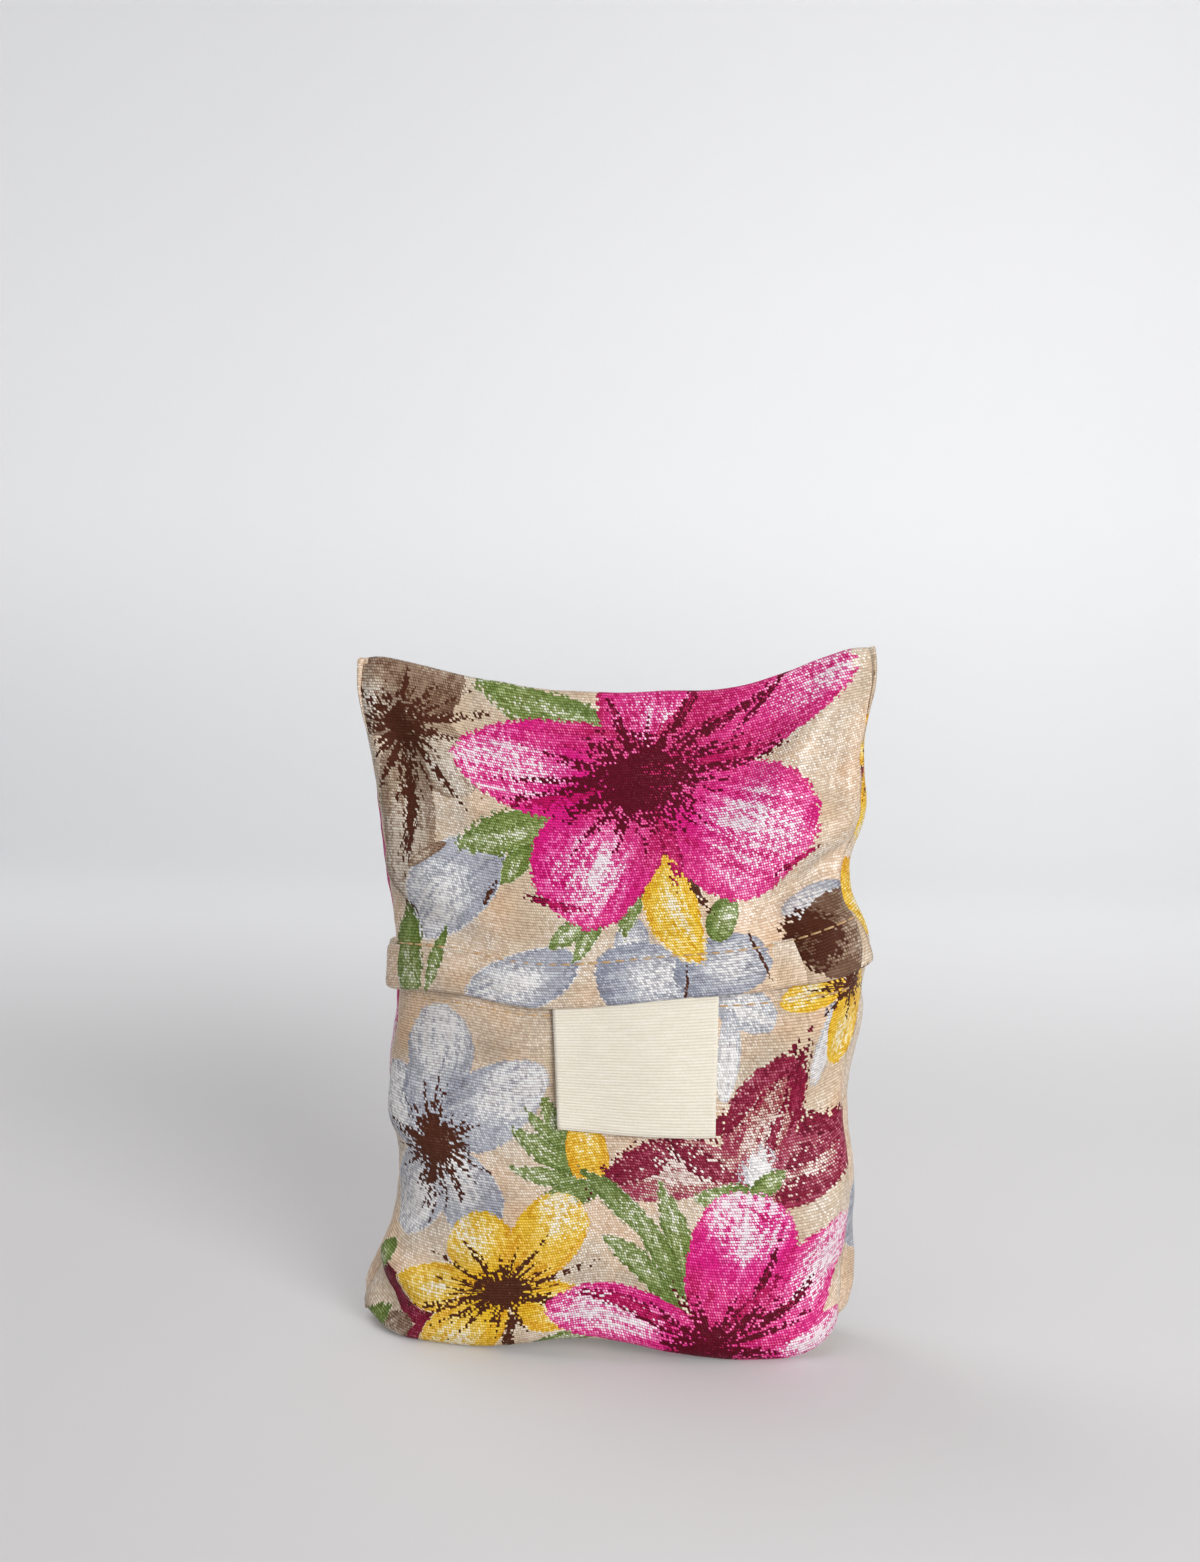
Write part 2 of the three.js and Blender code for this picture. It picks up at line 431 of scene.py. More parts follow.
class Shader(Nodes):
    """A material in the making."""

    def __init__(self, name: str) -> None:
        """Start a material with a Principled shader.

        Args:
            name: Name of the material.
        """
        self.material = bpy.data.materials.new(name)
        self.material.use_nodes = True
        super().__init__(self.material.node_tree)
        self.surface = next(n for n in self.tree.nodes if n.type == "BSDF_PRINCIPLED")

    def finish(self, inputs: dict[str, Any]) -> Material:
        """Feed the surface.

        Args:
            inputs: Numbers, colours, values or sockets by the name of the surface's input.

        Returns:
            The finished material.
        """
        for name, value in inputs.items():
            self.feed(self.surface.inputs[name], value)
        return self.material

    def flat_cloth(self) -> tuple[Value, Value]:
        """Find the place on the flat cloth.

        Returns:
            The place across and along the cloth in millimetres.
        """
        across, along, _ = self.split(self.node("ShaderNodeUVMap", {"uv_map": FLAT_MAP}, {}).outputs[0])
        return (across - 0.5) * FLAT_SPAN, (along - 0.5) * FLAT_SPAN

    def emboss(self, height: Value, depth: float) -> Socket:
        """Press a relief into the surface.

        Args:
            height: Height of the relief as a share of its depth.
            depth: Its depth in millimetres.

        Returns:
            The surface's direction with the relief.
        """
        inputs = {"Strength": 1.0, "Distance": depth * MM, "Height": height}
        return self.node("ShaderNodeBump", {}, inputs).outputs[0]


class Ink(Enum):
    """The inks of the floral print, each from its shadow to its bare highlight."""

    PINK = ((96, 4, 32), (190, 6, 92), (224, 26, 134), (238, 104, 176), (240, 228, 236))
    YELLOW = ((88, 50, 22), (226, 166, 24), (240, 196, 42), (244, 214, 92), (242, 234, 206))
    GREEN = ((58, 70, 30), (96, 118, 50), (122, 144, 72), (158, 174, 114), (224, 226, 212))
    BLUE = ((96, 102, 122), (144, 150, 166), (176, 181, 192), (206, 209, 214), (234, 235, 235))
    MAROON = ((84, 6, 28), (132, 14, 52), (160, 40, 76), (174, 112, 102), (222, 202, 192))
    BROWN = ((82, 42, 26), (118, 88, 68), (154, 130, 108), (180, 160, 136), (214, 202, 184))

    @property
    def number(self) -> int:
        """The ink's place in the print's colour ramp, from 1."""
        return list(Ink).index(self) + 1


@dataclass(frozen=True)
class Petal:
    """One printed petal, leaf or speckled eye, laid on the flat cloth from its base to its tip."""

    ink: Ink
    base: Spot
    tip: Spot
    width: float
    point: float = 2.0
    swell: float = 0.0
    bend: float = 0.0
    tone: float = 0.46
    glow: float = 0.3
    ragged: float = 0.12
    halo: float = 0.0
    rays: float = 0.0

    def moved(self, at: Spot, turn: float) -> "Petal":
        """Lay the petal elsewhere on the cloth.

        Args:
            at: Place to which the cloth's zero goes.
            turn: How far to turn it first, in degrees.

        Returns:
            The moved petal.
        """
        c, s = math.cos(math.radians(turn)), math.sin(math.radians(turn))

        def go(spot: Spot) -> Spot:
            """Turn and move one place."""
            return at[0] + c * spot[0] - s * spot[1], at[1] + s * spot[0] + c * spot[1]

        return replace(self, base=go(self.base), tip=go(self.tip))


def speck(ink: Ink, base: Spot, tip: Spot, width: float) -> Petal:
    """A speckled dark line, as along a petal's edge."""
    return Petal(ink, base, tip, width * 0.6, tone=0.1, ragged=1.5)


def star(ink: Ink, at: Spot, size: Spot, rays: float = 0.6) -> Petal:
    """A speckled dark heart with rays, of a width and a height."""
    left, right = (at[0] - size[0] / 2, at[1]), (at[0] + size[0] / 2, at[1])
    return Petal(ink, left, right, size[1], tone=0.08, ragged=0.5 + rays * 1.15, rays=rays)


def leaf(base: Spot, tip: Spot, width: float, bend: float = 0.0) -> Petal:
    """A pointed green leaf."""
    return Petal(Ink.GREEN, base, tip, width, point=1.25, bend=bend, tone=0.43, ragged=0.3, halo=0.06)


def moved(motif: Iterable[Petal], at: Spot, turn: float) -> tuple[Petal, ...]:
    """Lay a whole motif elsewhere on the cloth."""
    return tuple(petal.moved(at, turn) for petal in motif)


WIDE_PINK = (
    leaf((6, 3), (-38, 17), 10),
    leaf((-11, -8), (-42, -19), 9),
    leaf((-24, -16), (-31, -25), 5),
    leaf((2.5, -15), (-3, -36), 5.5),
    Petal(Ink.GREEN, (16, -32), (22, -35), 10, tone=0.44),
    leaf((-8, -30), (-20, -37), 4.5),
    leaf((-7, -31), (-15, -40), 3.5),
    Petal(Ink.YELLOW, (2, -13), (12, -42), 11, point=1.6, swell=0.25, halo=0.08),
    speck(Ink.BROWN, (5, -16), (16, -31), 3),
    Petal(Ink.PINK, (3, 0), (3, 31), 27, tone=0.42, glow=-0.4),
    Petal(Ink.PINK, (1, 4), (45, 17), 21, point=1.8, bend=0.1, tone=0.5, glow=0.8),
    Petal(Ink.PINK, (0, -2), (36, -23), 28, point=2.5, swell=0.2, tone=0.52, glow=0.4),
    Petal(Ink.PINK, (0, -5), (-18, -30), 27, point=2.6, swell=0.15, tone=0.5, glow=0.35),
    Petal(Ink.PINK, (6, 0), (-42, 0), 21, point=1.6, tone=0.52, glow=0.6),
    Petal(Ink.PINK, (-25, -27), (-11, -30), 1.4, tone=0.2, ragged=1.4),
    Petal(Ink.PINK, (31, -26), (38, -23), 1.6, tone=0.2, ragged=1.4),
    speck(Ink.PINK, (4, 4), (13, 22), 3.5),
    speck(Ink.PINK, (6, 4), (26, 15), 3.5),
    speck(Ink.PINK, (-3, 5), (-8, 15), 3),
    speck(Ink.PINK, (20, 8), (32, 19), 2),
    Petal(Ink.PINK, (-2, -2), (-26, -8), 4, tone=0.2, ragged=1.4),
    Petal(Ink.PINK, (2, -4), (8, -24), 3, tone=0.2, ragged=1.4),
    Petal(Ink.PINK, (2, 0), (28, 2), 4, tone=0.16, ragged=1.6),
    star(Ink.PINK, (-1, -1), (54, 34), 0.8),
    star(Ink.PINK, (0, -2), (38, 27), 0.55),
    star(Ink.PINK, (0, -3), (22, 19), 0.25),
)

UPRIGHT_PINK = (
    Petal(Ink.PINK, (2, 0), (-36, 4), 14, point=1.6, bend=0.25, tone=0.58, glow=0.35),
    Petal(Ink.PINK, (1, 0), (32, -2), 12, point=1.7, tone=0.6, glow=0.6),
    Petal(Ink.PINK, (2, 1), (31, 19), 18, swell=0.2, tone=0.62, glow=0.6),
    Petal(Ink.PINK, (1, 2), (6, 31), 22, point=2.3, swell=0.15, tone=0.6, glow=0.7),
    Petal(Ink.PINK, (0, 0), (-3, -16), 16, tone=0.5, glow=0.9),
    speck(Ink.PINK, (6, 4), (11, 20), 3),
    speck(Ink.PINK, (8, 4), (20, 11), 4),
    Petal(Ink.PINK, (-4, 2), (-26, 7), 3, tone=0.2, ragged=1.4),
    Petal(Ink.PINK, (2, 3), (12, 14), 2.5, tone=0.2, ragged=1.4),
    star(Ink.PINK, (1, 0), (34, 22), 0.8),
    star(Ink.PINK, (0, -2), (20, 15), 0.5),
    star(Ink.PINK, (0, -2), (13, 10), 0.25),
)

PALE_BLUE = (
    Petal(Ink.BLUE, (-1, 0), (-18, 12), 13, tone=0.7, halo=0.05),
    Petal(Ink.BLUE, (0, -1), (-13, -21), 14, tone=0.68, halo=0.05),
    Petal(Ink.BLUE, (1, -1), (11, -17), 15, swell=0.2, tone=0.6, glow=-0.3, halo=0.05),
    Petal(Ink.BLUE, (0, 1), (-4, 28), 18, swell=0.1, tone=0.7, glow=0.6),
    Petal(Ink.BLUE, (1, 1), (24, 17), 16, tone=0.66, glow=0.5),
    star(Ink.BROWN, (0, 0), (26, 26), 0.8),
    star(Ink.BROWN, (0, 0), (17, 17), 0.5),
    star(Ink.BROWN, (0, 0), (9, 9), 0.3),
)

GOLD = (
    Petal(Ink.YELLOW, (-4, -1), (-25, -3), 10, point=1.7, halo=0.06),
    Petal(Ink.YELLOW, (-1, -2), (-13, -20), 16, tone=0.5, halo=0.06),
    Petal(Ink.YELLOW, (1, -1), (20, -10), 11, point=1.7, halo=0.06),
    Petal(Ink.YELLOW, (0, 0), (-12, 13), 15, swell=0.2, tone=0.52, glow=0.6),
    Petal(Ink.YELLOW, (1, 0), (13, 18), 16, swell=0.15, tone=0.56, glow=0.8),
    star(Ink.BROWN, (-1, -1), (36, 24), 0.85),
    star(Ink.BROWN, (0, -1), (22, 13), 0.6),
    star(Ink.BROWN, (0, -1), (12, 8), 0.25),
    speck(Ink.BROWN, (2, -4), (4, -18), 4),
)

DARK_RED = (
    Petal(Ink.MAROON, (1, 1), (30, 8), 13, point=1.7, tone=0.49, glow=-0.2),
    Petal(Ink.MAROON, (12, 13), (32, 8), 4, tone=0.25, ragged=1.4),
    Petal(Ink.MAROON, (6, 0), (27, 2), 3.5, bend=0.5, tone=0.3, ragged=1.4),
    Petal(Ink.MAROON, (10, 5), (26, 8), 2.5, tone=0.3, ragged=1.2),
    Petal(Ink.MAROON, (1, -1), (10, 27), 17, point=1.7, swell=0.2, tone=0.52, glow=0.0),
    Petal(Ink.MAROON, (-7, 10), (11, 28), 4, bend=-0.3, tone=0.28, ragged=1.4),
    Petal(Ink.MAROON, (11, 29), (14, 10), 4.5, bend=-0.3, tone=0.25, ragged=1.4),
    Petal(Ink.MAROON, (4, 2), (11, 18), 2.5, tone=0.26, ragged=1.2),
    Petal(Ink.MAROON, (0, 9), (-30, 1), 12, point=1.8, bend=-0.4, tone=0.66, glow=-0.2),
    Petal(Ink.MAROON, (-31, 1), (-11, 11), 5, point=1.6, bend=0.35, tone=0.25, ragged=1.4),
    Petal(Ink.MAROON, (-15, 11), (1, 1), 4.5, bend=-0.45, tone=0.26, ragged=1.4),
    Petal(Ink.MAROON, (-27, 1), (-16, 5), 2, tone=0.34, ragged=1.0),
    Petal(Ink.BLUE, (2, 0), (6, 9), 7, tone=0.9, ragged=1.0),
    leaf((2, 1), (-10, -1), 5, bend=0.4),
    leaf((1, 0), (10, 4), 4),
)

BROAD_BROWN = (
    Petal(Ink.BROWN, (0, 2), (5, 19), 22, point=3, tone=0.5, glow=0.8),
    Petal(Ink.BROWN, (0, 0), (16, -12), 15, tone=0.68),
    Petal(Ink.BROWN, (-1, -1), (-1, -40), 15, tone=0.66),
    Petal(Ink.BROWN, (0, 0), (-15, 7), 14, tone=0.6),
    star(Ink.BROWN, (0, -17), (6, 40), 0.6),
    star(Ink.BROWN, (0, -1), (34, 34), 0.85),
    star(Ink.BROWN, (0, -1), (16, 17), 0.5),
)

HOOD_PRINT = (
    *moved(BROAD_BROWN, (-46, -13), 0),
    Petal(Ink.BLUE, (-24, -36), (-48, -55), 16, tone=0.56, halo=0.08),
    Petal(Ink.BROWN, (-37, -37), (-46, -43), 2.2, tone=0.5),
    speck(Ink.BROWN, (-25, -43), (-27.5, -48), 1.8),
    speck(Ink.BROWN, (-51, -50), (-47, -53), 4),
    Petal(Ink.BLUE, (-7, -57), (-33, -68), 11, tone=0.56, halo=0.08),
    Petal(Ink.BLUE, (7, -50), (4, -62), 8, tone=0.7),
    Petal(Ink.BLUE, (-4, -62), (17, -63), 15, point=2.6, tone=0.46),
    Petal(Ink.BLUE, (13, -64), (34, -59), 13, point=2.4, tone=0.46),
    speck(Ink.BROWN, (31, -54), (33, -66), 1.2),
    speck(Ink.BROWN, (16, -61), (14, -69), 1.1),
    leaf((-50, -51), (-48, -70), 9),
    leaf((-38, -54), (-44, -68), 3),
    Petal(Ink.BLUE, (57, -52), (40, -53), 6, tone=0.6),
    Petal(Ink.BROWN, (66, -60), (40, -60), 17, tone=0.36, glow=-0.4),
    Petal(Ink.BROWN, (48, -56), (39.5, -62), 11, tone=0.1, ragged=0.8),
    *moved(WIDE_PINK, (7, -18), 0),
)

FRONT_PRINT = (
    Petal(Ink.BLUE, (18, 258), (34, 248), 9, tone=0.6),
    Petal(Ink.BLUE, (24, 252), (25, 234), 5, tone=0.85),
    Petal(Ink.BLUE, (47, 252), (45, 234), 6, tone=0.88, ragged=0.5),
    Petal(Ink.YELLOW, (49, 254), (35, 252), 6, tone=0.55),
    Petal(Ink.YELLOW, (50, 254), (52, 236), 11, tone=0.5),
    Petal(Ink.YELLOW, (51, 254), (64, 250), 12),
    star(Ink.BROWN, (50, 253), (20, 16), 0.8),
    *moved(PALE_BLUE, (-38, 224), 0),
    leaf((-2, 216), (-21, 221), 4),
    leaf((-3, 217), (-20, 229), 5),
    leaf((-6, 221), (-14, 236), 4),
    leaf((-8, 223), (-17, 233), 2.5),
    Petal(Ink.YELLOW, (-3, 215), (-5, 230), 9, tone=0.42),
    leaf((1, 217), (-20, 211), 6, bend=-0.5),
    *moved(DARK_RED, (28, 215), 0),
    leaf((-6, 219), (12, 203), 5, bend=-0.2),
    leaf((18, 193), (11, 217), 6),
    leaf((18, 194), (4, 212), 5),
    leaf((18, 192), (-1, 205), 5, bend=-0.2),
    leaf((-14, 180), (2, 182), 5),
    leaf((26, 187), (17, 197), 2),
    Petal(Ink.MAROON, (-56, 195), (-34, 186), 6, tone=0.2),
    Petal(Ink.BROWN, (-40, 186), (-47, 178), 8, tone=0.5),
    Petal(Ink.MAROON, (-36, 188), (-40, 174), 5, tone=0.3),
    leaf((-47, 186), (-52, 175), 5),
    leaf((-49, 200), (-52, 192), 4),
    *moved(GOLD, (-21, 196), 0),
    *moved(UPRIGHT_PINK, (24, 185), 0),
)

BACK_PRINT = (
    Petal(Ink.MAROON, (60, 20), (48, 30), 8, tone=0.3),
    Petal(Ink.YELLOW, (62, 46), (46, 62), 13),
    *moved(PALE_BLUE, (-30, 26), 200),
    *moved(GOLD, (46, 22), 20),
    *moved(DARK_RED, (-14, 134), 190),
    leaf((0, 20), (24, 30), 8),
    leaf((4, 14), (20, 6), 7),
    leaf((-30, 118), (-52, 104), 8),
    *moved(WIDE_PINK, (-4, 78), 165),
    *moved(UPRIGHT_PINK, (-52, 62), 100),
    *moved(PALE_BLUE, (38, 122), 60),
)


class Stamp:
    """A node group that lays one petal over those below it."""

    VECTORS = ("Spot", "Below", "Middle", "Turn", "Size")
    SHAPES = ("glow", "point", "swell", "bend", "ragged", "halo", "rays")
    NUMBERS = ("Jitter", "Code", *(shape.capitalize() for shape in SHAPES), "Seed")
    HALO_TONE = 0.3
    RAY_NOISE = {"Scale": 5.0, "Detail": 2.0}
    RAY_RANGE = (0.38, 0.74)
    LONGEST_RAY = 1.05
    SEED_STEP = 0.37

    def __init__(self, name: str, rayed: bool) -> None:
        """Build the group.

        Args:
            name: Name of the group.
            rayed: Whether the shape is a heart with rays.
        """
        self.group = bpy.data.node_groups.new(name, "ShaderNodeTree")
        for vector in self.VECTORS:
            self.group.interface.new_socket(vector, in_out="INPUT", socket_type="NodeSocketVector")
        for number in self.NUMBERS:
            self.group.interface.new_socket(number, in_out="INPUT", socket_type="NodeSocketFloat")
        self.group.interface.new_socket("Laid", in_out="OUTPUT", socket_type="NodeSocketVector")
        nodes = Nodes(self.group)
        given = nodes.node("NodeGroupInput", {}, {}).outputs
        number = {name: Value(nodes, given[name]) for name in self.NUMBERS}
        mapping = nodes.node(
            "ShaderNodeMapping", {"vector_type": "TEXTURE"},
            {0: given["Spot"], 1: given["Middle"], 2: given["Turn"], 3: given["Size"]},
        )
        length, breadth, _ = nodes.split(mapping.outputs[0])
        square = length * length
        if rayed:
            edge = (square + breadth * breadth) / self.burst(nodes, mapping.outputs[0], number)
        else:
            breadth = (breadth + square * number["Bend"]) / (1 + length * number["Swell"])
            edge = abs(breadth) ** number["Point"] + square
        uneven = edge + number["Jitter"] * number["Ragged"]
        code = number["Code"] + (uneven > 1.0) * self.HALO_TONE * (number["Halo"] > 0.01)
        petal = nodes.join(length - number["Glow"], breadth, code)
        laid = nodes.choose(uneven < 1 + number["Halo"], given["Below"], petal)
        nodes.node("NodeGroupOutput", {}, {"Laid": laid})

    def burst(self, nodes: Nodes, place: Socket, number: dict[str, Value]) -> Value:
        """How far a heart's rays reach each way round.

        Args:
            nodes: The group in the making.
            place: Place on the heart, from its middle.
            number: The group's numbers by name.

        Returns:
            The square of the reach, about 1 at the longest rays.
        """
        way = nodes.node("ShaderNodeVectorMath", {"operation": "NORMALIZE"}, {0: place}).outputs[0]
        inputs = {"Vector": way, "W": number["Seed"], **self.RAY_NOISE}
        ray = Value(nodes, nodes.node("ShaderNodeTexNoise", {"noise_dimensions": "4D"}, inputs).outputs[0])
        reach = ray.ease(*self.RAY_RANGE) * number["Rays"] + (self.LONGEST_RAY - number["Rays"])
        return reach * reach

    def press(
        self, shader: Shader, spot: Socket, jitter: Value, petal: Petal, below: Any
    ) -> Socket:
        """Lay a petal.

        Args:
            shader: Material in the making.
            spot: Place on the flat cloth.
            jitter: Unevenness of the print's edges.
            petal: Petal to lay.
            below: What lies there already: place along and across its petal, and its ink and tone.

        Returns:
            What lies there now.
        """
        run = petal.tip[0] - petal.base[0]
        rise = petal.tip[1] - petal.base[1]
        inputs = {
            "Spot": spot,
            "Below": below,
            "Middle": ((petal.base[0] + petal.tip[0]) / 2, (petal.base[1] + petal.tip[1]) / 2, 0),
            "Turn": (0, 0, math.atan2(rise, run)),
            "Size": (math.hypot(run, rise) / 2, petal.width / 2, 1),
            "Jitter": jitter,
            "Code": petal.ink.number + petal.tone / 2,
            "Seed": petal.base[0] + petal.base[1] * self.SEED_STEP,
        }
        inputs.update({shape.capitalize(): getattr(petal, shape) for shape in self.SHAPES})
        return shader.node("ShaderNodeGroup", {"node_tree": self.group}, inputs).outputs[0]


@dataclass(frozen=True)
class Stretch:
    """A stretch of the flat cloth that has a material of its own."""

    name: str
    low: Spot
    high: Spot
    spare: float = 1.15
    spare_ragged: float = 0.3

    def holds(self, petal: Petal) -> bool:
        """Tell if a petal reaches into the stretch.

        Args:
            petal: Petal to test.

        Returns:
            True if any of it may lie there.
        """
        spare = self.spare + petal.halo / 2 + petal.ragged * self.spare_ragged
        for k in range(2):
            middle = (petal.base[k] + petal.tip[k]) / 2
            run = abs(petal.tip[k] - petal.base[k]) / 2
            other = abs(petal.tip[1 - k] - petal.base[1 - k]) / 2
            tilt = other / max(math.hypot(run, other), 0.01)
            reach = (run + petal.width / 2 * (1 + abs(petal.swell) + abs(petal.bend)) * tilt) * spare
            if middle + reach < self.low[k] or middle - reach > self.high[k]:
                return False
        return True


@dataclass(frozen=True)
class Weave:
    """The satin's weave as a shader reads it.

    The spot is the place on the flat cloth, and across and along are its two numbers. Each row of floats
    has its own loose number, and each float its own grain. The rim is 1 between two rows and 0 along the
    middle of one, and the yarn is 1 where a float lies highest.
    """

    spot: Socket
    across: Value
    along: Value
    loose: Value
    grain: Value
    rim: Value
    yarn: Value


@dataclass(frozen=True)
class PrintedSatin:
    """Satin with a floral print in stippled inks, with painted glints, painted sheen and painted shade
    between its rows in its colour.
    """

    row_height: float = 0.57
    float_length: float = 0.54
    row_shift: float = 0.03
    row_stagger: float = 0.3
    slant: float = 0.445
    ground: Colour = srgb(214, 194, 166)
    peach: Colour = srgb(229, 198, 163)
    grey: Colour = srgb(190, 176, 156)
    # Colour of the painted glints and sheen on the pale yarn.
    shine: Colour = srgb(250, 246, 242)
    # Colour that the painted shade between rows and the darker floats go towards.
    gap: Colour = srgb(150, 116, 106)
    ink_steps: tuple[float, ...] = (0.0, 0.16, 0.36, 0.6, 0.82)
    coat_roughness: float = 0.28
    specular: float = 0.1
    relief: float = 0.08

    def weave(self, shader: Shader) -> Weave:
        """Lay out the floats of the weave.

        Args:
            shader: Material in the making.

        Returns:
            The weave.
        """
        across, along = shader.flat_cloth()
        row = (along / self.row_height).floor()
        loose = shader.speckle(shader.join(row, 0.0, 0.0))
        shifted = (across + along * self.slant) / self.float_length + row * self.row_shift
        shifted = shifted + loose * self.row_stagger
        grain = shader.speckle(shader.join(shifted.floor(), row, 0.0))
        end = shifted.stripe()
        rim = (along / self.row_height).stripe()
        yarn = (1 - end * end) * (1 - rim * rim)
        return Weave(shader.join(across, along, 0.0), across, along, loose, grain, rim, yarn)

    def material(
        self, stretch: Stretch, petals: Sequence[Petal], stamps: tuple[Stamp, Stamp]
    ) -> Material:
        """Print a stretch of the cloth.

        Args:
            stretch: The stretch.
            petals: The print, the lowest petals first.
            stamps: The stamp for petals and the one for hearts with rays.

        Returns:
            The material.
        """
        shader = Shader(stretch.name)
        weave = self.weave(shader)
        within = [petal for petal in petals if stretch.holds(petal)]
        log.info("%s: %d petals", stretch.name, len(within))
        colour, bare = self.paint(shader, weave, within, stamps)
        # Painted sheen: soft patches over the cloth where it is lighter.
        lustre = shader.noise(shader.join(weave.across * 0.6, weave.along, 2.0), 0.06, 3.0).ease(0.36, 0.58)
        glint = weave.yarn.ease(0.35, 0.85) * (0.12 + weave.grain * weave.grain * 1.1) * lustre
        # Painted highlight: the colour goes towards the shine on the highest floats and in the sheen
        # patches, where the print is pale.
        colour = shader.blend((glint * 0.95 + lustre * 0.06) * bare, colour, self.shine)
        # Painted shade in the grooves between rows, less in the sheen patches, and darker floats and rows
        # at random.
        groove_shade = weave.rim * weave.rim * weave.rim * (0.66 - lustre * 0.36)
        dull = 1 - weave.grain
        dim = groove_shade + dull * dull * 0.3 + weave.loose * 0.07
        return shader.finish({
            "Base Color": shader.blend(dim.clamp(), colour, self.gap, "MULTIPLY"),
            "Roughness": 0.5 - glint * 0.15,
            "Coat Weight": bare * (0.3 + glint * 0.6) + glint * 0.1,
            "Coat Roughness": self.coat_roughness,
            "Specular IOR Level": self.specular,
            "Normal": shader.emboss(weave.yarn + weave.grain * 0.4, self.relief),
        })

    def paint(
        self, shader: Shader, weave: Weave, petals: Sequence[Petal], stamps: tuple[Stamp, Stamp]
    ) -> tuple[Socket, Value]:
        """Lay the petals one over the other and ink them.

        Args:
            shader: Material in the making.
            weave: The weave, whose floats take the ink one by one.
            petals: Petals to lay, the lowest first.
            stamps: The stamp for petals and the one for hearts with rays.

        Returns:
            The print's colour, and how little ink lies on the yarn, from 0 to 1, which also sets how
            strongly the painted glints and sheen show.
        """
        wobble = shader.noise(weave.spot, 0.3)
        jitter = (wobble - 0.5) * 0.8 + (weave.grain - 0.5) * 1.3
        laid: Any = (0.0, 0.0, 0.0)
        for petal in petals:
            laid = stamps[petal.rays > 0].press(shader, weave.spot, jitter, petal, laid)
        length, breadth, code = shader.split(laid)
        ink = code.floor()
        tone = (code - ink) * 2
        level = self.level(shader, weave, length, breadth, tone)
        inked = ink > 0.5
        share = 1 / len(Ink)
        stops = [
            ((kind.number - 1 + step) * share, srgb(*colour))
            for kind in Ink for step, colour in zip(self.ink_steps, kind.value)
        ]
        ramp = shader.node("ShaderNodeValToRGB", {"stops": stops}, {0: (ink - 1 + level) * share})
        patch = shader.noise(weave.spot, 0.045).ease(0.42, 0.62)
        dusk = shader.noise(weave.spot, 0.08, 3.0).ease(0.5, 0.75)
        ground = shader.blend(dusk * 0.7, shader.blend(patch, self.ground, self.peach), self.grey)
        return shader.blend(inked, ground, ramp.outputs[0]), 1 - inked + inked * level * level

    def level(self, shader: Shader, weave: Weave, length: Value, breadth: Value, tone: Value) -> Value:
        """How light the ink is, with streaks along the petal and dots from the weave.

        Args:
            shader: Material in the making.
            weave: The weave.
            length: Place along the petal, 0 where it is lightest.
            breadth: Place across it, 0 at its middle.
            tone: The petal's own tone.

        Returns:
            The place on the ink's scale from shadow, 0, to bare highlight, just under 1.
        """
        grain = weave.grain
        along = weave.along
        streak_at = shader.join(breadth * 6 + along * 0.06, length * 1.3 + along * 0.04, tone * 3)
        streak = shader.noise(streak_at, 1.0, 4.0).ease(0.22, 0.78)
        blot = shader.noise(weave.spot, 0.17, 3.0).ease(0.3, 0.7)
        far = length * length * 1.6 + breadth * breadth * 1.3
        bell = (1 - far).clamp()
        dots = (weave.yarn - 0.44) * (0.3 + bell * 0.5) + (grain - 0.5) * (0.2 + bell * 0.8)
        light = 0.84 + 1.2 * bell * (0.2 + streak * 0.6 + blot * 0.2) + (streak - 0.5) * 0.4 + dots
        return (tone * (light - 0.2 * far.ease(1.0, 2.6))).clamp() * 0.998


@dataclass(frozen=True)
class BagSatin:
    """The bag's own satin, plainly patched."""

    ground: Colour = srgb(206, 186, 160)
    patch: Colour = srgb(196, 96, 130)
    gap: Colour = srgb(120, 90, 80)
    patch_scale: float = 60.0
    thread: float = 0.42
    relief: float = 0.05

    def material(self) -> Material:
        """Make the satin.

        Returns:
            The material.
        """
        shader = Shader("bag_satin")
        spot = shader.place()
        _, _, height = shader.split(spot)
        patch = shader.noise(spot, self.patch_scale, 3.0).ease(0.4, 0.62)
        colour = shader.blend(patch, self.ground, self.patch)
        # Painted shade in the grooves between threads, where the thread stripe is high.
        thread = (height / (self.thread * MM)).stripe()
        return shader.finish({
            "Base Color": shader.blend(thread * 0.2, colour, self.gap),
            "Roughness": 0.45 + thread * 0.15,
            "Normal": shader.emboss(thread, self.relief),
        })


@dataclass(frozen=True)
class CottonTape:
    """Unbleached cotton tape with fine ribs across it."""

    rib: float = 0.63
    thread: float = 0.42
    yarn: Colour = srgb(240, 233, 217)
    slub: Colour = srgb(246, 240, 227)
    gap: Colour = srgb(176, 160, 132)
    sheen: float = 0.1
    relief: float = 0.12

    def material(self) -> Material:
        """Make the tape.

        Returns:
            The material.
        """
        shader = Shader("cotton_tape")
        across, along = shader.flat_cloth()
        row = (along / self.rib).floor()
        place = across / self.thread + row * 0.5
        grain = shader.speckle(shader.join(place.floor(), row, 0.0))
        rib = 1 - (along / self.rib).stripe()
        weave = rib * (0.75 + (1 - place.stripe()) * 0.25)
        slub = shader.noise(shader.join(across * 0.3, along * 2, 0.0), 0.6).ease(0.35, 0.7)
        # Painted shade between the ribs and threads, with some darker threads at random.
        dark = (1 - weave) * 0.36 + grain * 0.06
        return shader.finish({
            "Base Color": shader.blend(dark, shader.blend(slub, self.yarn, self.slub), self.gap),
            "Roughness": 0.82 + grain * 0.1,
            "Sheen Weight": self.sheen,
            "Normal": shader.emboss(weave + grain * 0.3, self.relief),
        })


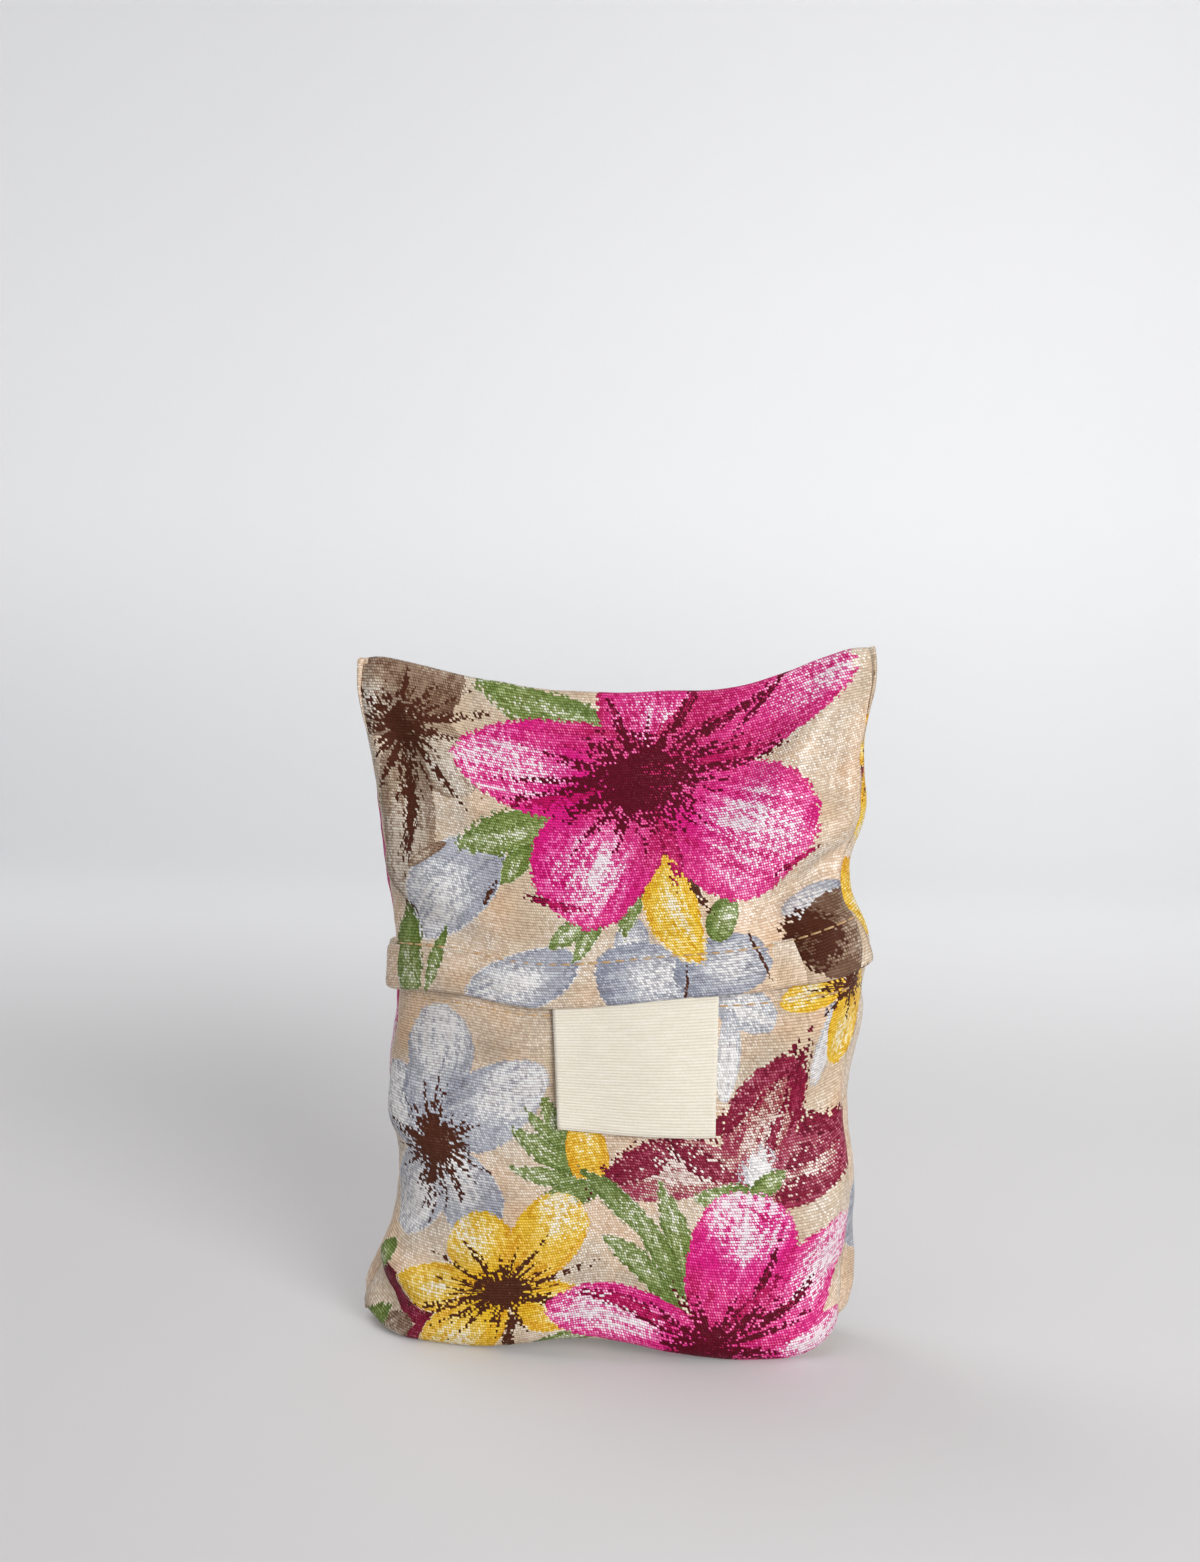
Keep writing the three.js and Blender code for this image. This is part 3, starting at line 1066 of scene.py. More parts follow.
@dataclass(frozen=True)
class SewingThread:
    """Twisted tan sewing thread."""

    twist: float = 0.5
    tan: Colour = srgb(222, 180, 126)
    gap: Colour = srgb(170, 122, 76)
    fuzz: Colour = srgb(236, 208, 168)
    fuzz_scale: float = 900.0
    relief: float = 0.05

    def material(self) -> Material:
        """Make the thread.

        Returns:
            The material.
        """
        shader = Shader("sewing_thread")
        spot = shader.place()
        x, _, height = shader.split(spot)
        # Painted shade in the grooves of the twist, where the ply stripe is high.
        ply = ((x + height) / (self.twist * MM)).stripe()
        fuzz = shader.noise(spot, self.fuzz_scale)
        return shader.finish({
            "Base Color": shader.blend(fuzz * 0.3, shader.blend(ply * 0.5, self.tan, self.gap), self.fuzz),
            "Roughness": 0.5 + fuzz * 0.2,
            "Normal": shader.emboss(ply, self.relief),
        })


@dataclass(frozen=True)
class StudioPaper:
    """Pale paper for the floor and the wall, darker on the near floor as painted shade, with a painted glow
    that only the camera and reflections see, a little brighter to the right.
    """

    near: Colour = srgb(206, 204, 204)
    far: Colour = srgb(246, 246, 247)
    roughness: float = 0.7
    specular: float = 0.2

    def material(self) -> Material:
        """Make the paper.

        Returns:
            The material.
        """
        paper = Shader("studio_paper")
        side, depth, height = paper.split(paper.place())
        reach = side * side + depth * depth
        # Painted glow that only the camera and reflections see: brighter up the wall, to the right and far
        # off.
        upright = height.ease(0.0, 0.2)
        wall = upright * (0.11 + side.ease(-0.4, 0.2) * 0.11)
        floor = (1 - upright) * side.ease(-0.15, 0.15) * 0.12
        glow = 0.05 + wall + floor + reach.ease(1.2, 6.0) * 0.2
        return paper.finish({
            # Painted shade: darker on the near floor, lighter towards the back.
            "Base Color": paper.blend(depth.ease(0.15, 0.55), self.near, self.far),
            "Roughness": self.roughness,
            "Specular IOR Level": self.specular,
            "Emission Strength": 1.0,
            "Emission Color": paper.blend(paper.seen() * glow, srgb(0, 0, 0), srgb(255, 255, 255)),
        })


class Side(Enum):
    """The side of the pouch that a row of cloth lies on."""

    FRONT = -1
    BACK = 1


class Hand(Enum):
    """The left or the right of the pouch, seen from the front."""

    LEFT = -1
    RIGHT = 1

    @property
    def word(self) -> str:
        """The hand as it stands in names."""
        return self.name.lower()


class Panel(Enum):
    """The panels of the cloth strip, in order from the hood's hem to the pouch's mouth."""

    HOOD = 0
    BACK = 1
    FRONT = 2


def between(start: Callable, end: Callable, share: float) -> Callable[[np.ndarray], np.ndarray]:
    """Height of a line of cloth that lies between two edges.

    Args:
        start: Height of the first edge for each place across.
        end: Height of the second.
        share: How far the line lies from the first to the second, 0 to 1.

    Returns:
        Height of the line for each place across.
    """
    return lambda across: start(across) * (1 - share) + end(across) * share


@dataclass
class PouchForm:
    """The filled pouch's outside form as it stands."""

    seam_plane: float
    left_edge: Curve = Curve(
        ((0, -53.6), (4, -55.4), (8, -54.8), (13, -51.8), (20, -49.8), (40, -47.2), (57, -49.3),
         (72, -47.3), (86, -47.8), (110, -50.7), (127, -53.2), (139, -55.6), (146.5, -55.1))
    )
    right_edge: Curve = Curve(
        ((0, 50.2), (20, 51.1), (32, 52.3), (57, 50.7), (76, 54.4), (90, 54.2), (97, 51), (104, 50.4),
         (114, 53.6), (128, 53.4), (146, 55.6), (150.6, 54.9))
    )
    top_edge: Curve = Curve(
        ((-1, 146.5), (-0.84, 145.9), (-0.5, 142.1), (-0.3, 140.6), (0.2, 139.9), (0.5, 141.5),
         (0.8, 147.2), (1, 150))
    )
    hood_edge: Curve = Curve(
        ((-1, 75.8), (-0.88, 77), (-0.7, 77.5), (-0.33, 75.7), (0.25, 78.6), (0.72, 81.2), (0.92, 83.5),
         (1, 85))
    )
    body_depth: Curve = Curve(((0, 16.5), (3, 18.6), (10, 19.4), (45, 20), (75, 19), (90, 18.5)))
    crown: Curve = Curve(((0, 0.03), (10, 0.23), (22, 0.47), (35, 0.72), (50, 0.9), (65, 1)))
    section_power: float = 2.4
    seam_turn: Curve = Curve(((0, 7), (55, 7), (85, 13), (150, 14)))
    floor_gap: float = 0.25
    seam_foot: float = 7.5
    foot_power: int = 12
    bottom_arch: float = 5.5
    arch_middle: float = 0.03
    arch_width: float = 0.28
    ear_reach: float = 1.2
    ear_lift: float = 1.2
    corner_tuck: float = 4.0
    lift_power: int = 6
    row_points: int = 321

    def row(
        self, height: Callable[[np.ndarray], np.ndarray], side: Side, fullness: float = 1.0,
        lift: float = 0.0, ear: float = 0.0, tuck: float = 0.0,
    ) -> np.ndarray:
        """Lay one line of cloth across the pouch from the left seam to the right one.

        Args:
            height: Height of the line for each place across, -1 at the left to 1 at the right.
            side: Side of the pouch that the line lies on.
            fullness: Share of the body's depth that the line takes, less than 1 under the base.
            lift: How far the line lies off the body at the middle.
            ear: How far the left end reaches out to the ear.
            tuck: How far the right end is drawn in under the base.

        Returns:
            Points along the line, densely spaced.
        """
        ends = np.array([-1.0, 1.0])
        slack = float(np.mean(self.crown(self.top_edge(ends) - height(ends))))
        seam_turn = math.radians(float(np.mean(self.seam_turn(height(ends)))))
        turn = -side.value * seam_turn * fullness * slack
        angle = np.linspace(turn, math.pi - turn, self.row_points)
        power = 2 / self.section_power
        across = -np.sign(np.cos(angle)) * np.abs(np.cos(angle)) ** power
        deep = np.sign(np.sin(angle)) * np.abs(np.sin(angle)) ** power
        z = height(across)
        left = float(self.left_edge(z[0])) - ear
        right = float(self.right_edge(z[-1])) - tuck
        depth = self.body_depth(z) * self.crown(self.top_edge(across) - z) * fullness
        x = (left + right) / 2 + (right - left) / 2 * across
        y = side.value * (deep * depth + lift * (1 - np.abs(across) ** self.lift_power)) + self.seam_plane
        return np.stack([x, y, z], 1)

    def foot(self, across: np.ndarray) -> np.ndarray:
        """How far the cloth's lower edge climbs to the seams at the two ends."""
        return self.seam_foot * np.abs(across) ** self.foot_power

    def arch(self, across: np.ndarray) -> np.ndarray:
        """How far the front's lower edge stands off the floor."""
        return self.bottom_arch * np.exp(-(((across - self.arch_middle) / self.arch_width) ** 2))


@dataclass(frozen=True)
class Fold:
    """A soft ridge or hollow in the cloth along a line on the flat strip."""

    start: Spot
    end: Spot
    width: float
    height: float
    fullness: float = 1.85
    fade_in: Spot = (-0.15, 0.25)
    fade_out: Spot = (0.6, 1.1)

    def rise(self, across: np.ndarray, along: np.ndarray) -> np.ndarray:
        """How far the fold lifts the cloth.

        Args:
            across: Places across the flat cloth.
            along: Places along it.

        Returns:
            The lift at each place, less than 0 in a hollow.
        """
        run = np.subtract(self.end, self.start)
        share = ((across - self.start[0]) * run[0] + (along - self.start[1]) * run[1]) / (run @ run)
        off = np.hypot(across - self.start[0] - share * run[0], along - self.start[1] - share * run[1])
        fade = ease(share, *self.fade_in) * (1 - ease(share, *self.fade_out))
        return self.fullness * self.height * fade * np.exp(-((off / self.width) ** 2))


FOLDS = (
    Fold((-57, 0), (-20, -34), 5.5, 1.3),
    Fold((-50, -2), (-44, -44), 4.0, -0.9),
    Fold((56, 0), (26, -40), 5.5, 1.3),
    Fold((52, -6), (47, -44), 3.5, -1.0),
    Fold((66, -44), (30, -51), 3.2, -2.4),
    Fold((62, -36), (34, -38), 3.5, 1.0),
    Fold((70, -56), (40, -60), 5.0, 2.8),
    Fold((40, -46), (37, -72), 2.2, -1.3),
    Fold((-58, -50), (-26, -57), 3.6, -1.1),
    Fold((-58, -44), (-36, -40), 3.5, 0.8),
    Fold((-30, -64), (4, -58), 3.0, 0.7),
    Fold((57, 262), (20, 226), 4.5, 1.3),
    Fold((57, 246), (30, 212), 4.0, -1.0),
    Fold((57, 222), (34, 196), 4.5, 0.9),
    Fold((-58, 236), (-24, 246), 4.0, -1.1),
    Fold((-58, 228), (-34, 222), 4.0, 0.8),
    Fold((-58, 204), (-28, 214), 4.0, -0.9),
    Fold((-58, 197), (-34, 190), 4.0, 1.3),
    Fold((-52, 184), (-30, 204), 3.5, -1.0),
    Fold((57, 190), (36, 206), 4.0, -1.0),
    Fold((-57, 0), (-24, 40), 6.0, 1.4),
    Fold((57, 0), (22, 44), 6.0, 1.4),
    Fold((-58, 58), (-22, 66), 4.5, -1.2),
    Fold((58, 74), (26, 66), 4.5, -1.2),
    Fold((-57, 144), (-28, 112), 5.0, 1.1),
    Fold((57, 144), (30, 108), 5.0, 1.1),
)


@dataclass(frozen=True)
class Rumple:
    """Soft bumps scattered over the flat cloth, of a size across it and along it."""

    across: float
    along: float
    seed: float

    def heights(self, across: np.ndarray, along: np.ndarray) -> np.ndarray:
        """Read the bumps at every point of a grid.

        Args:
            across: Places of the grid's columns across the cloth.
            along: Places of its rows along the cloth.

        Returns:
            The height at each point, about -1 to 1.
        """
        return np.array([
            [noise.noise((a / self.across, v / self.along, self.seed)) for a in across] for v in along
        ])


@dataclass
class PouchCloth:
    """The strip of printed satin: front, base, back, top fold and hood in one."""

    form: PouchForm
    name: str = "printed_pouch"
    node: str = "pouch_cloth"
    flat_width: float = 114.0
    step: float = 2.0
    thickness: float = 0.35
    hood_rows: int = 35
    back_rows: int = 72
    base_rows: int = 9
    front_rows: int = 43
    hem_rows: int = 5
    mouth_overlap: float = 11.0
    hem_depth: float = 9.5
    hem_lift: float = 2.2
    hem_turn: float = 0.3
    turn_gap: float = 0.7
    hood_fall: float = 70.0
    hood_drape: Spot = (0.2, 0.85)
    flare_height: float = 13.0
    flare_out: float = 1.0
    flare_left: Spot = (34.0, 49.0)
    flare_right: Spot = (36.0, 53.0)
    flare_forward: Spot = (1.5, 2.2)
    seam_press: Spot = (-0.9, 2.6)
    seam_pucker: Spot = (0.14, 6.0)
    pucker_pitch: float = 1.15
    pucker_drift: Spot = (2.2, 7.0)
    broad_wave: Rumple = Rumple(26.0, 30.0, 3.1)
    small_wave: Rumple = Rumple(11.0, 14.0, 7.7)
    small_share: float = 0.5
    wave_height: float = 0.9
    ruck: Rumple = Rumple(6.0, 5.0, 1.3)
    ruck_patch: Rumple = Rumple(30.0, 30.0, 9.1)
    ruck_height: float = 1.1
    seam_calm: Spot = (0.0, 12.0)
    edge_calm: Spot = (8.0, 30.0)
    edge_share: float = 0.3
    fold_calm: Spot = (0.0, 5.0)
    print_cuts: tuple[float, ...] = (-34.0, 0.0, 50.0, 100.0, 150.0, 198.0, 230.0)
    hood_stitching: Spot = (9.2, 53.0)
    mouth_stitching: Spot = (-1.7, 50.0)
    hem_points: int = 90
    seam_span: Spot = (36.0, 136.0)
    seam_points: int = 60
    seam_inset: float = 5.0
    seam_sink: float = 0.9
    rows: list[np.ndarray] = field(default_factory=list)
    panels: list[Panel] = field(default_factory=list)
    points: np.ndarray = field(default_factory=lambda: np.zeros(0))
    across: np.ndarray = field(default_factory=lambda: np.zeros(0))
    along: np.ndarray = field(default_factory=lambda: np.zeros(0))

    @property
    def flat_length(self) -> float:
        """Length of the cloth strip before it was sewn."""
        return float(self.along[-1] - self.along[0])

    def mouth(self, across: np.ndarray) -> np.ndarray:
        """Height of the front panel's upper edge, under the hood."""
        return self.form.hood_edge(across) + self.mouth_overlap

    def bottom(self, across: np.ndarray) -> np.ndarray:
        """Height of the front panel's lower edge."""
        return self.form.floor_gap + self.form.foot(across) + self.form.arch(across)

    def heel(self, across: np.ndarray) -> np.ndarray:
        """Height of the back panel's lower edge."""
        return self.form.floor_gap + self.form.foot(across)

    def lay(self, panel: Panel, row: np.ndarray) -> None:
        """Add a line of cloth to the strip, evenly resampled.

        Args:
            panel: Panel that the line belongs to.
            row: Dense points along the line.
        """
        run = run_along(row)
        even = np.linspace(0, run[-1], round(self.flat_width / self.step) + 1)
        self.rows.append(np.stack([np.interp(even, run, row[:, k]) for k in range(3)], 1))
        self.panels.append(panel)

    def lay_hood(self) -> None:
        """Lay the hood from its turned hem up to the top fold."""
        form = self.form
        for drop in np.linspace(self.hem_depth, self.hem_turn, self.hem_rows):
            lift = self.hem_lift - self.turn_gap
            turned = form.row(lambda a: form.hood_edge(a) + drop, Side.FRONT, lift=lift)
            self.lay(Panel.HOOD, self.flare(turned, drop))
        for rise in range(self.hood_rows + 1):
            share = rise / self.hood_rows
            lift = self.hem_lift * float(1 - ease(share, *self.hood_drape))
            line = form.row(between(form.hood_edge, form.top_edge, share), Side.FRONT, lift=lift)
            self.lay(Panel.HOOD, self.flare(line, share * self.hood_fall))

    def flare(self, row: np.ndarray, above: float) -> np.ndarray:
        """Spread the free corners of the hood's hem.

        Args:
            row: Line of the hood.
            above: How far the line lies above the hem's edge.

        Returns:
            The line with its two ends moved out and forward.
        """
        share = float(1 - ease(above, 0, self.flare_height))
        out = row.copy()
        left = ease(-row[:, 0], *self.flare_left) * share
        right = ease(row[:, 0], *self.flare_right) * share
        out[:, 0] += right * self.flare_out - left * self.flare_out
        out[:, 1] -= self.flare_forward[0] * left + self.flare_forward[1] * right
        return out

    def lay_back(self) -> None:
        """Lay the back from the top fold down to the base."""
        for fall in range(self.back_rows + 1):
            height = between(self.form.top_edge, self.heel, fall / self.back_rows)
            self.lay(Panel.BACK, self.form.row(height, Side.BACK))

    def lay_base(self) -> None:
        """Lay the base from the back's lower edge to the front's, with an ear at the left end."""
        form = self.form
        for pace in range(1, 2 * self.base_rows):
            full = abs(1 - pace / self.base_rows)
            behind = pace < self.base_rows
            arch = full * full if pace > self.base_rows else 0.0
            line = form.row(
                lambda a: form.floor_gap + form.foot(a) * full + form.arch(a) * arch
                + form.ear_lift * (1 - full) * np.abs(a) ** form.foot_power,
                Side.BACK if behind else Side.FRONT,
                fullness=full,
                ear=form.ear_reach * (1 - full),
                tuck=form.corner_tuck * (1 - full),
            )
            self.lay(Panel.BACK if behind else Panel.FRONT, line)

    def lay_front(self) -> None:
        """Lay the front from the base up to the mouth and its turned hem."""
        form = self.form
        for rise in range(self.front_rows + 1):
            height = between(self.bottom, self.mouth, rise / self.front_rows)
            self.lay(Panel.FRONT, form.row(height, Side.FRONT))
        for drop in np.linspace(self.hem_turn, self.hem_depth, self.hem_rows):
            self.lay(Panel.FRONT, form.row(lambda a: self.mouth(a) - drop, Side.FRONT, lift=-self.turn_gap))

    def measure(self) -> None:
        """Gather the lines into one sheet and measure it flat, from the top fold at 0."""
        self.points = np.array(self.rows)
        run = run_along(self.points[:, self.points.shape[1] // 2])
        self.along = run - run[self.panels.index(Panel.BACK)]
        self.across = np.linspace(-self.flat_width / 2, self.flat_width / 2, self.points.shape[1])

    def normals(self) -> np.ndarray:
        """Find which way the sheet faces.

        Returns:
            The outward direction at each point.
        """
        side = np.gradient(self.points, axis=1)
        up = np.gradient(self.points, axis=0)
        out = np.cross(side, up)
        return out / np.maximum(np.linalg.norm(out, axis=2, keepdims=True), 1e-9)

    def crumple(self) -> None:
        """Press the seams in and give the filled cloth its soft waves and folds."""
        across, along = np.meshgrid(self.across, self.along)
        from_seam = self.flat_width / 2 - np.abs(across)
        from_edge = np.minimum(along - self.along[0], self.along[-1] - along)
        move = self.seam_press[0] * np.exp(-((from_seam / self.seam_press[1]) ** 2))
        drift = self.pucker_drift[0] * np.sin(along / self.pucker_drift[1])
        pucker = np.sin(along / self.pucker_pitch + drift)
        move += self.seam_pucker[0] * np.exp(-((from_seam / self.seam_pucker[1]) ** 2)) * pucker
        bumps = (self.broad_wave, self.small_wave, self.ruck, self.ruck_patch)
        broad, small, ruck, patch = (bump.heights(self.across, self.along) for bump in bumps)
        wave = self.wave_height * (broad + self.small_share * small)
        from_edge = self.edge_share + (1 - self.edge_share) * ease(from_edge, *self.edge_calm)
        calm = ease(from_seam, *self.seam_calm) * from_edge
        move += (wave + self.ruck_height * (ruck * np.maximum(patch, 0))) * calm
        move += ease(from_seam, *self.fold_calm) * sum(fold.rise(across, along) for fold in FOLDS)
        self.points = self.points + self.normals() * move[:, :, None]
        self.points[:, :, 2] = np.maximum(self.points[:, :, 2], self.form.floor_gap)

    def at(self, across: float, along: float) -> tuple[Vector, Vector]:
        """Find a place on the sewn cloth from its place on the flat one.

        Args:
            across: Place across the flat cloth, from its middle.
            along: Place along the flat cloth, from the top fold.

        Returns:
            The point and the outward direction there, in millimetres.
        """
        row = float(np.interp(along, self.along, np.arange(len(self.along))))
        column = (across / self.flat_width + 0.5) * (self.points.shape[1] - 1)
        i = min(int(row), self.points.shape[0] - 2)
        j = min(int(column), self.points.shape[1] - 2)
        corner = self.points[i:i + 2, j:j + 2]
        upper = corner[0] + (corner[1] - corner[0]) * (row - i)
        point = upper[0] + (upper[1] - upper[0]) * (column - j)
        out = np.cross(upper[1] - upper[0], corner[1, 0] - corner[0, 0])
        return Vector(point), Vector(out).normalized()

    def surface(self) -> BVHTree:
        """Gather the front panel's cloth, without its turned hem, for finding places on it.

        Returns:
            The panel as a tree of faces, in millimetres.
        """
        lines = [i for i, panel in enumerate(self.panels) if panel is Panel.FRONT][:-self.hem_rows]
        width = self.points.shape[1]
        spots = [Vector(p) for p in self.points[lines].reshape(-1, 3)]
        faces = [
            (i * width + j, i * width + j + 1, (i + 1) * width + j + 1, (i + 1) * width + j)
            for i in range(len(lines) - 1) for j in range(width - 1)
        ]
        return BVHTree.FromPolygons(spots, faces)

    def hem_path(self, panel: Panel) -> Path:
        """Follow a hem on the outside of the cloth.

        Args:
            panel: The hood, for its own hem, or the front, for the mouth's.

        Returns:
            Points of the row with the outward direction at each.
        """
        if panel is Panel.HOOD:
            edge = self.along[self.hem_rows]
            rise, reach = self.hood_stitching
        else:
            edge = self.along[-self.hem_rows - 1] - self.mouth_overlap
            rise, reach = self.mouth_stitching
        return [self.at(across, edge + rise) for across in np.linspace(-reach, reach, self.hem_points)]

    def seam_path(self, hand: Hand) -> Path:
        """Follow a side seam on the inside of the back, below the hood.

        Args:
            hand: The left or the right seam.

        Returns:
            Points of the row with the direction into the pouch at each.
        """
        path = []
        for along in np.linspace(*self.seam_span, self.seam_points):
            at, out = self.at(hand.value * (self.flat_width / 2 - self.seam_inset), along)
            path.append((at - out * self.thickness * self.seam_sink, -out))
        return path

    def stretches(self) -> list[Stretch]:
        """Cut the cloth into the stretches that have a material of their own.

        Returns:
            The stretches in the order of the cloth's material slots.
        """
        edges = (self.along[0] - 1, *self.print_cuts, self.along[-1] + 1)
        halves = ((Hand.LEFT, -self.flat_width, self.step), (Hand.RIGHT, -self.step, self.flat_width))
        found = []
        for number, (low, high) in enumerate(zip(edges, edges[1:])):
            for hand, start, end in halves:
                name = f"print_{hand.word}_{number}"
                found.append(Stretch(name, (start, low - self.step), (end, high + self.step)))
        return found

    def build(self) -> Piece:
        """Make the cloth's mesh.

        Returns:
            The cloth, with its flat size as its UV map.
        """
        self.lay_hood()
        self.lay_back()
        self.lay_base()
        self.lay_front()
        self.measure()
        self.crumple()
        cloth = make_sheet(self.name, self.points, self.across, self.along)
        columns = self.points.shape[1] - 1
        cuts = np.array(self.print_cuts)
        for face in cloth.data.polygons:
            row, column = divmod(face.index, columns)
            face.material_index = 2 * int(np.searchsorted(cuts, self.along[row])) + (column >= columns // 2)
        subdivide(cloth, 1)
        thicken(cloth, self.thickness)
        return cloth

    def dress(self, pouch: Piece) -> None:
        """Print the cloth, stretch by stretch, and tie it to the frame.

        Args:
            pouch: The cloth's mesh.
        """
        satin = PrintedSatin()
        stamps = (Stamp("petal_stamp", False), Stamp("heart_stamp", True))
        petals = (*BACK_PRINT, *HOOD_PRINT, *FRONT_PRINT)
        for stretch in self.stretches():
            pouch.data.materials.append(satin.material(stretch, petals, stamps))
        settle(pouch, self.node)
        flat = (self.flat_width * MM, self.flat_length * MM)


@dataclass
class Stitches:
    """A row of lockstitch on the cloth."""

    name: str
    node: str
    length: float = 2.2
    pitch: float = 2.8
    diameter: float = 0.45
    sides: int = 8
    rounding: float = 0.3
    dip: float = 0.45
    proud: float = 0.3

    def one(self) -> Piece:
        """Model one stitch along x, its ends dipping into the cloth.

        Returns:
            The stitch, at the origin.
        """
        deselect()
        bpy.ops.mesh.primitive_cylinder_add(
            vertices=self.sides, radius=self.diameter / 2 * MM, depth=self.length * MM,
            rotation=(0, math.pi / 2, 0),
        )
        stitch = bpy.context.object
        bpy.ops.object.transform_apply(location=True, rotation=True, scale=True)
        bpy.ops.object.mode_set(mode="EDIT")
        bpy.ops.mesh.select_all(action="SELECT")
        bpy.ops.mesh.bevel(offset=self.diameter * self.rounding * MM, segments=2, affect="EDGES")
        bpy.ops.mesh.bisect(plane_co=(0, 0, 0), plane_no=(1, 0, 0))
        bpy.ops.object.mode_set(mode="OBJECT")
        for vertex in stitch.data.vertices:
            vertex.co.z -= self.diameter * self.dip * MM * (vertex.co.x / (self.length / 2 * MM)) ** 2
        return stitch

    def build(self, path: Path) -> Piece:
        """Copy the stitch along a row.

        Args:
            path: Points of the row with the outward direction at each, in millimetres.

        Returns:
            The row as one piece.
        """
        run = [0.0]
        for (a, _), (b, _) in zip(path, path[1:]):
            run.append(run[-1] + (b - a).length)
        model = self.one()
        copies = [model]
        count = int(run[-1] / self.pitch)
        for k in range(count):
            middle = (k + 0.5) * run[-1] / count
            i = min(max(np.searchsorted(run, middle) - 1, 0), len(path) - 2)
            share = (middle - run[i]) / (run[i + 1] - run[i])
            at = path[i][0].lerp(path[i + 1][0], share)
            out = path[i][1].lerp(path[i + 1][1], share).normalized()
            ahead = (path[i + 1][0] - path[i][0]).normalized()
            aside = out.cross(ahead).normalized()
            turn = Matrix((ahead, aside, ahead.cross(aside))).transposed().to_4x4()
            stitch = model
            if k:
                stitch = model.copy()
                stitch.data = model.data.copy()
                bpy.context.collection.objects.link(stitch)
                copies.append(stitch)
            stitch.matrix_world = Matrix.Translation((at + out * self.diameter * self.proud) * MM) @ turn
        deselect()
        for stitch in copies:
            stitch.select_set(True)
        bpy.context.view_layer.objects.active = model
        bpy.ops.object.join()
        row = bpy.context.object
        row.name = self.name
        row.data.name = self.name
        bpy.ops.object.transform_apply(location=True, rotation=True, scale=True)
        bpy.ops.object.shade_smooth()
        return row

    def dress(self, row: Piece, thread: Material) -> None:
        """Give the row its thread and tie it to the frame."""
        settle(row, self.node, thread)


@dataclass
class TapeLabel:
    """A bare cotton tape folded in half, its ends sewn under the hood."""

    node: str = "label"
    width: float = 34.0
    length: float = 0.0
    thickness: float = 0.4
    top_left: Spot = (-9.9, 83.0)
    top_right: Spot = (24.8, 86.5)
    low_left: Spot = (-8.3, 50.7)
    low_right: Spot = (24.4, 50.0)
    sag: float = 0.4
    inner_gap: Spot = (0.45, 0.5)
    outer_gap: Spot = (0.95, 1.0)
    columns: int = 23
    leaf_rows: int = 24
    before: float = -200.0

    def build(self, front: BVHTree) -> Piece:
        """Hang the tape on the pouch's front and measure its flat length.

        Args:
            front: The front panel's cloth.

        Returns:
            The tape.
        """
        down = np.linspace(0, 1, self.leaf_rows)
        outer = [self.line(front, d, self.outer_gap) for d in down]
        inner = [self.line(front, d, self.inner_gap) for d in down[::-1]]
        points = np.array(outer + inner)
        run = run_along(points[:, self.columns // 2])
        self.length = float(run[-1])
        across = np.linspace(-self.width / 2, self.width / 2, self.columns)
        label = make_sheet("tape_label", points, across, -run)
        label.data.flip_normals()
        subdivide(label, 1)
        thicken(label, self.thickness)
        return label

    def line(self, front: BVHTree, down: float, gap: Spot) -> np.ndarray:
        """Lay one line across the tape.

        Args:
            front: The front panel's cloth.
            down: Place down the tape, 1 at its fold.
            gap: How far the tape hangs off the cloth at its top, and how much farther at its fold.

        Returns:
            Points along the line.
        """
        off = gap[0] + gap[1] * down ** 2
        spots = []
        for a in np.linspace(0, 1, self.columns):
            top = np.array(self.top_left) * (1 - a) + np.array(self.top_right) * a
            low = np.array(self.low_left) * (1 - a) + np.array(self.low_right) * a
            x, z = top * (1 - down) + low * down
            z -= self.sag * 4 * a * (1 - a) * down
            hit = front.ray_cast(Vector((x, self.before, z)), Vector((0, 1, 0)))[0]
            spots.append((x, hit.y - off, z))
        return np.array(spots)

    def dress(self, label: Piece) -> None:
        """Weave the tape and tie it to the frame.

        Args:
            label: The tape's mesh.
        """
        settle(label, self.node, CottonTape().material())


